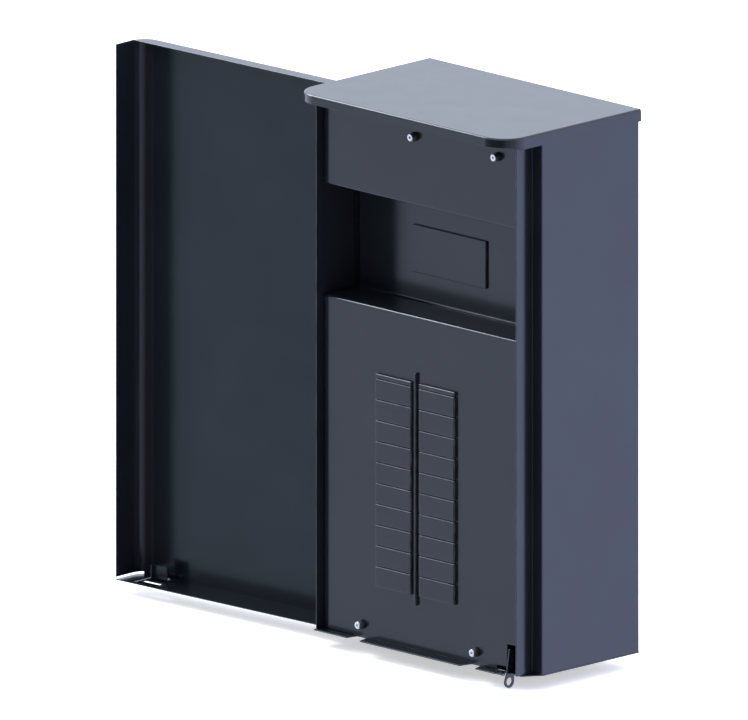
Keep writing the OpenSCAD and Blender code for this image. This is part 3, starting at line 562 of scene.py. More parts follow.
        mesh.attributes.new("edge_wear_and_highlight", "FLOAT", "POINT").data.foreach_set("value", shares)
        ways = normals[np.concatenate(old)]
        mesh.normals_split_custom_set((ways / np.linalg.norm(ways, axis=1, keepdims=True)).tolist())
        piece = bpy.data.objects.new(name, mesh)
        bpy.context.scene.collection.objects.link(piece)
        return piece


# ---------------------------------------------------------------- finishes


class Finish(Enum):
    """The finishes by the name of their material slot."""

    PAINT = "blue_grey_paint"
    NYLON = "black_nylon"
    ZINC = "bright_zinc"
    GALVANISED = "galvanised_sheet"
    ALUMINIUM = "aluminium_bar"
    INSULATOR = "insulator"
    GREEN = "green_screw"


class Tree:
    """A node tree being written, with short calls for its nodes."""

    def __init__(self, owner: bpy.types.Material | bpy.types.World) -> None:
        """Empties the owner's tree."""
        owner.use_nodes = True
        self.tree = owner.node_tree
        self.tree.nodes.clear()

    def node(self, kind: str, **settings: object) -> bpy.types.Node:
        """Adds a node and sets its properties."""
        made = self.tree.nodes.new(kind)
        for key, value in settings.items():
            setattr(made, key, value)
        return made

    def link(self, source: Feed, socket: Socket) -> None:
        """Feeds a socket from another, or sets its value."""
        if isinstance(source, Socket):
            self.tree.links.new(source, socket)
        else:
            socket.default_value = source

    def feed(self, made: bpy.types.Node, *sources: Feed) -> Socket:
        """Feeds a node's sockets in order, and returns its first output."""
        for socket, source in zip(made.inputs, sources):
            self.link(source, socket)
        return made.outputs[0]

    def sum(self, first: Feed, second: Feed, how: str = "ADD") -> Socket:
        """A sum, product or other pair of numbers."""
        return self.feed(self.node("ShaderNodeMath", operation=how), first, second)

    def blend(self, share: Feed, first: Feed, second: Feed) -> Socket:
        """The first colour, turning into the second as share goes to 1."""
        made = self.node("ShaderNodeMix", data_type="RGBA")
        self.link(share, made.inputs[0])
        self.link(first, made.inputs[SOCKETS["mix_first"]])
        self.link(second, made.inputs[SOCKETS["mix_second"]])
        return made.outputs[SOCKETS["mix_colour"]]


class Recipe(Tree):
    """A material being written: its principled shader and the patterns that feed it."""

    def __init__(self, name: str) -> None:
        """Starts a material with a principled shader and Object coordinates."""
        self.material = bpy.data.materials.new(name)
        super().__init__(self.material)
        self.shader = self.node("ShaderNodeBsdfPrincipled")
        self.link(self.shader.outputs[0], self.node("ShaderNodeOutputMaterial").inputs[0])
        self.place = self.node("ShaderNodeTexCoord").outputs["Object"]

    def stretched(self, scale: tuple[float, float, float]) -> Socket:
        """Object coordinates scaled along each axis."""
        made = self.node("ShaderNodeMapping")
        self.link(self.place, made.inputs["Vector"])
        made.inputs["Scale"].default_value = scale
        return made.outputs[0]

    def noise(self, scale: float, detail: float = 2.0, rough: float = 0.5, place: Socket | None = None) -> Socket:
        """A cloudy pattern from 0 to 1, with scale clouds to a metre."""
        made = self.node("ShaderNodeTexNoise")
        self.link(place or self.place, made.inputs["Vector"])
        made.inputs["Scale"].default_value = scale
        made.inputs["Detail"].default_value = detail
        made.inputs["Roughness"].default_value = rough
        return made.outputs[0]

    def cells(self, scale: float) -> Socket:
        """Flat patches of crystal, each with its own grey, with scale of them to a metre."""
        made = self.node("ShaderNodeTexVoronoi", feature="F1")
        self.link(self.place, made.inputs["Vector"])
        made.inputs["Scale"].default_value = scale
        grey = self.node("ShaderNodeRGBToBW")
        self.link(made.outputs["Color"], grey.inputs[0])
        return grey.outputs[0]

    def remap(self, value: Socket, source: tuple[float, float], target: tuple[float, float] = (0.0, 1.0)) -> Socket:
        """Carries one range onto another, clamped."""
        return self.feed(self.node("ShaderNodeMapRange"), value, *source, *target)

    def worn_and_highlighted(self) -> Socket:
        """The edge_wear_and_highlight of the surface, where the paint is lightened partly as rubbed paint and partly as
        a painted highlight.
        """
        return self.node("ShaderNodeAttribute", attribute_name="edge_wear_and_highlight").outputs["Fac"]

    def bump(self, height: Socket, distance: float, below: Socket | None = None) -> Socket:
        """Normals of a relief distance metres high, over another one if there is one."""
        made = self.node("ShaderNodeBump")
        made.inputs["Strength"].default_value = 1.0
        made.inputs["Distance"].default_value = distance
        self.link(height, made.inputs["Height"])
        if below is not None:
            self.link(below, made.inputs["Normal"])
        return made.outputs[0]

    def set(self, **sockets: object) -> None:
        """Sets the shader's sockets by name, with spaces as underscores."""
        for name, value in sockets.items():
            self.link(value, self.shader.inputs[name.replace("_", " ")])


@dataclass(frozen=True)
class PowderPaint:
    """Baked powder coat over sheet steel: a glossy dark film with a fine orange peel, and lighter edges that are partly
    thin rubbed paint and partly a painted highlight.

    Attributes:
        film: colour of the coat.
        faded: where it has faded.
        edge: on the edges, lighter partly as rubbed paint and partly as a painted highlight.
        gloss: lowest and highest roughness.
        peel: height of the orange peel, in metres.
        canning: height of the sheet's slow waves, in metres.
    """

    film: Colour = (0.0062, 0.0076, 0.0102, 1.0)
    faded: Colour = (0.0084, 0.0102, 0.0138, 1.0)
    edge: Colour = (0.052, 0.057, 0.070, 1.0)
    gloss: tuple[float, float] = (0.17, 0.215)
    peel: float = 0.0000012
    canning: float = 0.00007

    def recipe(self, name: str) -> bpy.types.Material:
        """Writes the coat: cloudy fading, edges lightened partly as rubbed paint and partly as a painted highlight,
        orange peel a millimetre wide and faint oil-canning.
        """
        mix = Recipe(name)
        cloud = mix.noise(9.0, 4.0, 0.55)
        speck = mix.noise(1400.0, 1.0)
        fade = mix.remap(mix.sum(cloud, mix.sum(speck, 0.15, "MULTIPLY")), (0.40, 0.75))
        colour = mix.blend(fade, self.film, self.faded)
        # Lightens the edges in patches towards the edge colour: partly rubbed paint, partly a painted highlight along
        # them.
        rub_and_highlight = mix.remap(mix.noise(70.0, 3.0), (0.35, 0.65), (0.15, 0.75))
        colour = mix.blend(mix.sum(mix.worn_and_highlighted(), rub_and_highlight, "MULTIPLY"), colour, self.edge)
        haze = mix.sum(mix.noise(26.0, 3.0, 0.6), mix.sum(speck, 0.15, "MULTIPLY"))
        rough = mix.remap(haze, (0.38, 0.76), self.gloss)
        peel = mix.bump(mix.noise(900.0, 2.0, 0.45), self.peel)
        relief = mix.bump(mix.noise(5.0, 1.0), self.canning, peel)
        mix.set(Base_Color=colour, Roughness=rough, IOR=1.5, Normal=relief)
        return mix.material


@dataclass(frozen=True)
class PlatedSteel:
    """Zinc on steel: bright plating on screws, or hot-dip sheet with crystals.

    Attributes:
        bright: colour of the brightest crystals.
        dull: colour of the dullest.
        gloss: lowest and highest roughness.
        crystals: how many to a metre.
        relief: their height, in metres.
    """

    bright: Colour = (0.62, 0.64, 0.66, 1.0)
    dull: Colour = (0.36, 0.38, 0.40, 1.0)
    gloss: tuple[float, float] = (0.22, 0.38)
    crystals: float = 160.0
    relief: float = 0.000004

    def recipe(self, name: str) -> bpy.types.Material:
        """Writes the plating: patches of crystal that differ in tone and gloss, drawing lines and dulled hollows."""
        mix = Recipe(name)
        patch = mix.sum(mix.cells(self.crystals), mix.noise(self.crystals / 3, 3.0), "ADD")
        tone = mix.remap(patch, (0.5, 1.45))
        lines = mix.noise(40.0, 3.0, 0.6, mix.stretched((1.0, 1.0, 60.0)))
        rough = mix.remap(mix.sum(patch, lines), (0.9, 2.0), self.gloss)
        colour = mix.blend(tone, self.dull, self.bright)
        mix.set(Base_Color=colour, Metallic=1.0, Roughness=rough, Normal=mix.bump(mix.sum(lines, patch), self.relief))
        return mix.material


@dataclass(frozen=True)
class ExtrudedBar:
    """Extruded aluminium: pale metal with lines drawn along it.

    Attributes:
        bright: colour of the bare metal.
        dull: colour under oxide.
        gloss: lowest and highest roughness.
    """

    bright: Colour = (0.80, 0.80, 0.80, 1.0)
    dull: Colour = (0.55, 0.56, 0.57, 1.0)
    gloss: tuple[float, float] = (0.28, 0.42)

    def recipe(self, name: str) -> bpy.types.Material:
        """Writes the metal: fine lines along its length, and cloudy oxide."""
        mix = Recipe(name)
        lines = mix.noise(30.0, 4.0, 0.7, mix.stretched((60.0, 60.0, 1.0)))
        cloud = mix.noise(60.0, 3.0)
        colour = mix.blend(mix.remap(mix.sum(lines, cloud), (0.7, 1.3)), self.dull, self.bright)
        rough = mix.remap(cloud, (0.35, 0.65), self.gloss)
        mix.set(Base_Color=colour, Metallic=1.0, Roughness=rough, Normal=mix.bump(lines, 0.000006))
        return mix.material


@dataclass(frozen=True)
class MouldedPlastic:
    """Moulded nylon or thermoset: a fine spark-eroded grain and faint flow marks.

    Attributes:
        colour: of the plastic.
        light: its colour in the flow marks.
        gloss: lowest and highest roughness.
    """

    colour: Colour = (0.012, 0.012, 0.013, 1.0)
    light: Colour = (0.020, 0.020, 0.022, 1.0)
    gloss: tuple[float, float] = (0.38, 0.52)

    def recipe(self, name: str) -> bpy.types.Material:
        """Writes the plastic: grain a third of a millimetre wide, and slow changes of tone and gloss."""
        mix = Recipe(name)
        flow = mix.noise(45.0, 3.0)
        colour = mix.blend(mix.remap(flow, (0.35, 0.65)), self.colour, self.light)
        mix.set(
            Base_Color=colour, IOR=1.5, Roughness=mix.remap(flow, (0.35, 0.65), self.gloss),
            Normal=mix.bump(mix.noise(2600.0, 2.0), 0.000012),
        )
        return mix.material


@dataclass
class Stock:
    """The finishes, each mixed once."""

    mixes: dict[Finish, PowderPaint | PlatedSteel | ExtrudedBar | MouldedPlastic] = field(default_factory=lambda: {
        Finish.PAINT: PowderPaint(),
        Finish.NYLON: MouldedPlastic(),
        Finish.ZINC: PlatedSteel((0.86, 0.87, 0.88, 1.0), (0.66, 0.67, 0.68, 1.0), (0.20, 0.32), 900.0),
        Finish.GALVANISED: PlatedSteel(),
        Finish.ALUMINIUM: ExtrudedBar(),
        Finish.INSULATOR: MouldedPlastic((0.045, 0.010, 0.007, 1.0), (0.060, 0.014, 0.010, 1.0)),
        Finish.GREEN: MouldedPlastic((0.010, 0.130, 0.040, 1.0), (0.014, 0.170, 0.055, 1.0), (0.25, 0.36)),
    })
    made: dict[Finish, bpy.types.Material] = field(default_factory=dict)

    def material(self, finish: Finish) -> bpy.types.Material:
        """The material of a finish."""
        if finish not in self.made:
            self.made[finish] = self.mixes[finish].recipe(finish.value)
        return self.made[finish]

    def dress(self) -> None:
        """Gives every CAD node the finish that its material slot names, the replaced ones too."""
        for node, piece in sorted(frame["nodes"].items()):
            for slot in piece.material_slots:
                slot.material = self.material(Finish(slot.name.split(".")[0]))
            log.info("%s: dressed as it is", node)


# ---------------------------------------------------------------- sub-assemblies


@dataclass
class Assembly:
    """A sub-assembly, whose pieces ride on one body of the model.

    Attributes:
        datum: ties the drawing to the model.
        stock: the finishes.
        body: what the pieces ride on.
        swung: True where they are drawn on the shut door.
        sheet: thickness of the sheet steel.
        bend: outer radius of a fold.
    """

    datum: Datum
    stock: Stock
    body: str = "box"
    swung: bool = False
    sheet: float = 1.5
    bend: float = 2.5

    def fit(self, surface: Surface, name: str, finish: Finish, *nodes: str) -> bpy.types.Object:
        """Makes a piece, gives it its finish, and puts it in place of CAD nodes.

        Args:
            surface: its shape.
            name: its name.
            finish: what it is finished in.
            nodes: the CAD nodes that it stands for.

        Returns:
            The piece.
        """
        piece = surface.build(name, self.datum, self.swung)
        piece.data.materials.append(self.stock.material(finish))
        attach(piece, self.body)
        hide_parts(*nodes)
        log.info("%s: %d faces, %s, in place of %s", name, len(piece.data.polygons), finish.value, ", ".join(nodes))
        return piece

    def pads(self, sizes: Sequence[Sequence[float]], front: float, rise: float, edge: float) -> Surface:
        """Raised pads in a sheet, each a plate with rounded front edges that stands on it.

        Args:
            sizes: x, height, width and tallness of each.
            front: y of their faces.
            rise: how far they stand out.
            edge: radius of their front edges.

        Returns:
            The surface.
        """
        made = Surface()
        for x, z, width, tall in sizes:
            stand = Flat((x, front, z), (1, 0, 0), (0, 0, 1), (0, 1, 0))
            made.plate(stand, Loop.rectangle((0, 0), (width, tall), 1.0), thickness=rise, edge=edge, back_edge=0.0)
        return made


@dataclass
class Housing(Assembly):
    """The box: the wall that wraps round three sides, the bottom wall with its knockouts, and the rain cap.

    Attributes:
        ledge: depth of the wall's step at the right jamb.
        hole: radius of a mounting hole.
        mounts: x and height of the mounting holes.
        soft_edge: radius of the wall's edges.
        knockouts: x, y and ring diameters of each knockout.
        score: how deep a ring is scored.
        flange_ends: y of the front ends of the bottom wall's left and right flange.
        cap_corner: radius of the cap's corners, seen from above.
        cap_edge: radius of its upper edge.
        lip: radius of its lower edge.
        front_skirt: how far it hangs down in front.
        side_skirt: how far at the sides.
    """

    ledge: float = 27.0
    hole: float = 3.5
    mounts: tuple[tuple[float, float], ...] = ((-127.0, 70.0), (-127.0, 578.0), (127.0, 70.0), (127.0, 578.0))
    soft_edge: float = 0.7
    knockouts: tuple[tuple[float, float, tuple[float, ...]], ...] = (
        (-16, -70, (64, 51, 44, 35)),
        (-120, -60, (35, 28)),
        (115, -55, (35, 28)),
        (-130, -120, (22,)),
        (46, -125, (22,)),
    )
    score: float = 0.6
    flange_ends: tuple[float, float] = (-164.0, -161.5)
    cap_corner: float = 34.0
    cap_edge: float = 3.0
    lip: float = 0.4
    front_skirt: float = 11.2
    side_skirt: float = 15.0

    def build(self) -> None:
        """Makes the three pieces."""
        self.wall()
        self.bottom()
        self.cap()

    def wall(self) -> None:
        """The wall: one sheet folded at four corners, with four mounting holes."""
        low, high = self.datum.span("box_wrapper")
        jamb = self.datum.span("deadfront")[1][0] + 2.5
        step = low[1] + self.ledge
        line = FoldLine.through(
            [(jamb, low[1]), (jamb, step), (high[0], step), (high[0], high[1]), (low[0], high[1]), low[:2]],
            [1.0, self.bend, self.bend, self.bend],
        )
        holes = [Loop.bore((line.mark(3, 0, x), z), self.hole, 28) for x, z in self.mounts]
        outline = Loop.rectangle((0, 0), (line.length, high[2] - low[2]), 0.8)
        made = Surface()
        made.plate(Fold(line, upright(low[2], high[2])), outline, holes, self.sheet, edge=self.soft_edge)
        self.fit(made, "wall", Finish.PAINT, "box_wrapper")

    def bottom(self) -> None:
        """The bottom wall: a flat sheet with slots for hasp and catch, scored knockouts and three turned-up flanges."""
        low, high = self.datum.span("bottom_wall")
        left, right = low[0], high[0]
        catch_left, catch_right = self.clear("catch_spring", 1.5)
        hasp_left, hasp_right = self.clear("hasp_lever", 0.6)
        outline = [
            (left, 0), (left, -195), (-120, -195), (-116, -180), (-100, -180), (-96, low[1]),
            (71, low[1]), (75, -180), (91, -180), (95, -195), (127.5, -195),
            (127.5, -188), (catch_left, -188), (catch_left, -178.5), (catch_right, -178.5), (catch_right, -183),
            (hasp_left, -183), (hasp_left, -165), (hasp_right, -165), (hasp_right, -183),
            (160, -183), (172, -164), (right, -160), (right, 0),
        ]
        scores = [(np.array([x, y]), size / 2, self.score) for x, y, sizes in self.knockouts for size in sizes]
        made = Surface()
        stand = Flat((0, 0, low[2]), (1, 0, 0), (0, 1, 0), (0, 0, 1))
        made.plate(stand, Loop.rounded(outline, 0.7), [], self.sheet, scores=scores)
        t, (left_end, right_end) = self.sheet, self.flange_ends
        for origin, along, into, length in (
            ((left + t, left_end, 0), (0, 1, 0), (1.0, 0, 0), -self.bend - left_end),
            ((right - t, right_end, 0), (0, 1, 0), (-1.0, 0, 0), -self.bend - right_end),
            ((left + self.bend, -t, 0), (1, 0, 0), (0, -1, 0), right - left - 2 * self.bend),
        ):
            flange = Loop.rectangle((0, 0.01), (length, high[2]), 1.5)
            made.plate(Flat(origin, along, (0, 0, 1), into), flange, thickness=t)
        self.fit(made, "bottom", Finish.PAINT, "bottom_wall")

    def clear(self, node: str, gap: float) -> tuple[float, float]:
        """The left and right edge of a slot with a gap on each side of a part."""
        low, high = self.datum.span(node)
        return low[0] - gap, high[0] + gap

    @staticmethod
    def _quarter(radius: float, count: int) -> Array:
        """A quarter round from a top at level 0 to a side, as rows of inset, level and the two parts of its normal.

        At the angle t, inset is radius * (1 - sin t), level is -radius * (1 - cos t), and the normal is
        (sin t, cos t).
        """
        t = np.linspace(0, math.pi / 2, count)
        return np.stack([radius * (1 - np.sin(t)), -radius * (1 - np.cos(t)), np.sin(t), np.cos(t)], 1)

    def cap(self) -> None:
        """The rain cap: a rounded rim swept round three sides, with a deeper skirt along the sides, and a flat top.

        A rim point lies inset from the outline along its normal. The skirt's lower edge falls from the front depth to
        the side depth by a smooth step of the normal's angle from straight ahead, between 45 and 90 degrees.
        """
        low, high = self.datum.span("rain_cap")
        corners = [(low[0], high[1]), low[:2], (high[0], low[1]), high[:2]]
        path = FoldLine.through(corners, [self.cap_corner] * 2)
        place, heading = path.outline(math.radians(5))
        away = np.stack([np.sin(heading), -np.cos(heading)], -1)
        share = np.clip(np.abs(np.degrees(np.arctan2(away[:, 0], -away[:, 1]))) / 45 - 1, 0, 1)
        skirt = self.front_skirt + (self.side_skirt - self.front_skirt) * share * share * (3 - 2 * share)
        t, top = self.sheet, high[2]
        lip = self._quarter(self.lip, ROUND_STEPS)
        section = np.concatenate([
            self._quarter(self.cap_edge, 7) + (0, top, 0, 0),
            lip[::-1] * (1, -1, 1, -1),
            lip * -1 + (t, 0, 0, 0),
            self._quarter(self.cap_edge - t, 7)[::-1] * (1, 1, -1, -1) + (t, top - t, 0, 0),
        ])
        hangs = np.repeat([0.0, 1.0, 0.0], [7, 2 * ROUND_STEPS, 7])[:, None]
        level = section[:, 1, None] + hangs * (top - skirt)
        flat = place - section[:, 0, None, None] * away
        points = np.concatenate([flat, level[..., None]], -1)
        lean = np.broadcast_to(section[:, 3, None, None], (*level.shape, 1))
        ways = np.concatenate([section[:, 2, None, None] * away, lean], -1)
        # The lip's paint is lightened, partly as rubbed paint and partly as a painted highlight.
        worn_and_highlighted = 1.6 * hangs * np.abs(section[:, 2, None] * section[:, 3, None])
        made = Surface()
        made.grid(points, ways, np.broadcast_to(worn_and_highlighted, level.shape))
        for row, height, way in ((0, top, 1.0), (-1, top - t, -1.0)):
            sheet, triangles = fill([flat[row]])
            blank = np.concatenate([sheet, np.full((len(sheet), 1), height)], 1)
            made.add(blank, np.broadcast_to([0, 0, way], blank.shape), triangles)
        for column in (0, -1):
            half = len(section) // 2
            rear = np.stack([points[:half, column], points[: half - 1 : -1, column]])
            made.grid(rear, np.broadcast_to([0.0, 1.0, 0.0], rear.shape))
        rear = np.array([[points[0, 0], points[0, -1]], [points[-1, 0], points[-1, -1]]])
        made.grid(rear, np.broadcast_to([0.0, 1.0, 0.0], rear.shape))
        self.fit(made, "cap", Finish.PAINT, "rain_cap")


@dataclass
class Covers(Assembly):
    """The two covers inside the door: the upper one, and the deadfront with its breaker windows and recess.

    Attributes:
        corner: radius of the folds beside the faces.
        shelf: height of the deadfront's shelf.
        twistout: width, height and pitch of the breaker blanks.
        column: from one column of blanks to the other.
        filler: height of the strip above each column.
        hexagon: radius of a screw's socket.
        upper_screws: x and height of the upper cover's screws.
        lower_screws: those of the deadfront.
    """

    corner: float = 4.0
    shelf: float = 406.0
    twistout: tuple[float, float, float] = (59.5, 24.6, 25.4)
    column: float = 72.5
    filler: float = 5.3
    hexagon: float = 1.5
    upper_screws: tuple[tuple[float, float], ...] = ((-20.0, 624.5), (119.0, 624.5))
    lower_screws: tuple[tuple[float, float], ...] = ((-108.0, 15.0), (83.0, 15.0))

    def build(self) -> None:
        """Makes the covers, their blanks, screws and collars."""
        self.upper()
        self.deadfront()
        self.twistouts()
        self.blank()
        self.screws()
        self.collars()

    def across(self, node: str, returned: float) -> FoldLine:
        """The level line of a cover: its face between two side returns."""
        low, high = self.datum.span(node)
        face, back = self.face, self.face + returned
        return FoldLine.through([(low[0], back), (low[0], face), (high[0], face), (high[0], back)], [self.corner] * 2)

    @property
    def face(self) -> float:
        """y of the covers' faces."""
        return float(self.datum.span("upper_cover")[0][1])

    def upper(self) -> None:
        """The upper cover: side returns, and a lower flange that runs back over the recess."""
        low, high = self.datum.span("upper_cover")
        line = self.across("upper_cover", 12.0)
        depth = high[1] - self.face
        up = FoldLine.through([(depth, low[2]), (0, low[2]), (0, high[2])], [self.bend])
        a, b = line.stations, up.stations
        outline = [
            (a[2], 0), (a[3], 0), (a[3], b[2]), (line.length, b[2]),
            (line.length, up.length), (0, up.length), (0, b[2]), (a[2], b[2]),
        ]
        holes = [Loop.bore((line.mark(1, 0, x), up.mark(1, 1, z)), 3.0, 24) for x, z in self.upper_screws]
        made = Surface()
        made.plate(Fold(line, up), Loop.rounded(outline, 0.4, 3), holes, self.sheet)
        self.fit(made, "upper_cover_sheet", Finish.PAINT, "upper_cover")

    def deadfront(self) -> None:
        """The deadfront: face, shelf and recess plate in one sheet, with a rib between the breaker columns."""
        low, high = self.datum.span("deadfront")
        line = self.across("deadfront", 9.0)
        depth = high[1] - self.sheet - self.face
        profile = [(0, low[2]), (0, self.shelf), (depth, self.shelf), (depth, high[2])]
        up = FoldLine.through(profile, [self.corner, self.bend])
        a, b = line.stations, up.stations
        inner, outer = line.mark(1, 0, 117.7), line.mark(1, 0, 134.7)
        notch, cut = 6.0 - low[2], 34.0 - low[2]
        outline = [
            (0, 0), (inner, 0), (inner, notch), (outer, notch), (outer, cut), (line.length, cut),
            (line.length, b[1]), (a[3], b[1]), (a[3], up.length), (a[2], up.length), (a[2], b[1]), (0, b[1]),
        ]
        holes = [Loop.bore((line.mark(1, 0, x), up.mark(0, 1, z)), 3.0, 24) for x, z in self.lower_screws]
        made = self.pads([(-17.5, 54.5, 3.0, 283.3)], self.face - 4, 4.3, 1.1)
        made.plate(Fold(line, up), Loop.rounded(outline, 0.4, 3), holes, self.sheet)
        self.fit(made, "deadfront_sheet", Finish.PAINT, "deadfront")

    def twistouts(self) -> None:
        """The breaker blanks: two columns of ten raised windows, a filler strip above each."""
        low = self.datum.span("breaker_twistouts")[0]
        width, tall, pitch = self.twistout
        sizes = [
            (x, low[2] + k * pitch, width, tall if k < 10 else self.filler)
            for x in (low[0], low[0] + self.column) for k in range(11)
        ]
        self.fit(self.pads(sizes, low[1], self.face - low[1], 1.4), "twistout_pads", Finish.PAINT, "breaker_twistouts")

    def blank(self) -> None:
        """The blank over the main breaker's place."""
        low, high = self.datum.span("main_breaker_blank")
        size = (low[0], low[2], high[0] - low[0], high[2] - low[2])
        self.fit(self.pads([size], low[1], high[1] - low[1], 1.0), "main_blank", Finish.PAINT, "main_breaker_blank")

    def at_screws(
        self, front: float, line: FoldLine, count: int, shape: Callable[[Array, Array], Array] | None = None
    ) -> Surface:
        """The same turned part at each of the four cover screws.

        Args:
            front: y of the top of its profile.
            line: the profile.
            count: steps round.
            shape: a factor on the radius, for a socket that isn't round.

        Returns:
            The surface.
        """
        made = Surface()
        made.turned(Flat((0, front, 0), (1, 0, 0), (0, 0, 1), (0, 1, 0)), line, count, shape)
        made.repeat(np.array([(x, 0, z) for x, z in (*self.upper_screws, *self.lower_screws)]))
        return made

    def screws(self) -> None:
        """The cover screws: domed heads with hexagon sockets on plain shanks.

        The socket's wall is its radius times cos 30 / cos(t), with t the angle from the middle of the nearest flat.
        """
        low, high = self.datum.span("cover_screws")
        head, shank, sunk, under, tip = 4.5, 2.4, -2.0, -4.0, low[1] - high[1]
        line = FoldLine.through(
            [
                (0, sunk), (self.hexagon, sunk), (self.hexagon, 0), (head, 0),
                (head, under), (shank, under), (shank, tip), (0, tip),
            ],
            [0.05, 0.25, 0.9, 0.2, 0.2, 0.5],
        )

        def hexagonal(profile: Array, angle: Array) -> Array:
            """The socket's outline, only inside its rim."""
            flat = math.cos(math.pi / 6) / np.cos(angle % (math.pi / 3) - math.pi / 6)
            return np.where((profile[:, :1] <= self.hexagon + 0.02) & (profile[:, 1:] > sunk - 0.1), flat, 1.0)

        self.fit(self.at_screws(low[1], line, 48, hexagonal), "cover_screw_set", Finish.ZINC, "cover_screws")

    def collars(self) -> None:
        """The black collars that keep the screws in the covers."""
        low, high = self.datum.span("screw_collars")
        tall = low[1] - high[1]
        bore, rim = 2.45, 5.5
        line = FoldLine.through([(bore, 0), (rim, 0), (rim, tall), (bore, tall), (bore, 0)], [0.8, 0.2, 0.2])
        self.fit(self.at_screws(low[1], line, 40), "collar_set", Finish.NYLON, "screw_collars")


@dataclass
class Hinged(Assembly):
    """A sub-assembly that carries hinge parts.

    Attributes:
        hinges: heights of the hinges' lower ends.
        hinge_tall: height of a hinge.
        knuckle: height of a knuckle.
        gap: between two knuckles.
        leaf: thickness of a leaf.
        curl: radius of a leaf's face round the pin.
        shoulder: how far back from its curl a leaf is cut away beside a knuckle.
        plane: how far a leaf's outer face lies from the pin's axis.
        middle: True for leaves with the middle knuckle, False for those with the outer two.
    """

    hinges: tuple[float, ...] = (90.0, 490.0)
    hinge_tall: float = 61.0
    knuckle: float = 20.0
    gap: float = 0.5
    leaf: float = 0.96
    curl: float = 2.8
    shoulder: float = 4.5
    plane: float = 1.7
    middle: bool = True

    def at_hinges(self, made: Surface) -> Surface:
        """The surface, repeated at every hinge."""
        made.repeat(np.array([(0, 0, z) for z in self.hinges]))
        return made

    def leaf_pair(self, reach: float) -> Surface:
        """Hinge leaves: strips that run flat from y = reach beside the flange and curl three quarters round the pin."""
        x, y = self.datum.hinge
        hand = 1.0 if reach < y else -1.0
        flat, turn, tall = abs(reach - y), 1.5 * math.pi, self.hinge_tall
        start = (x + self.plane, reach)
        line = FoldLine(start, hand * math.pi / 2, [Run(flat), Run(self.curl * turn, hand * turn)])
        knuckle, space = self.knuckle, self.gap
        if self.middle:
            low, high, ends, between = knuckle + space, 2 * knuckle + space, flat - self.shoulder, line.length
        else:
            low, high, ends, between = knuckle, 2 * (knuckle + space), line.length, flat - self.shoulder
        outline = [
            (0, 0), (ends, 0), (ends, low), (between, low), (between, high), (ends, high), (ends, tall), (0, tall),
        ]
        made = Surface()
        made.plate(Fold(line, upright(0.0, tall)), Loop.rounded(outline, 0.5, 3), [], self.leaf, edge=0.2)
        return self.at_hinges(made)


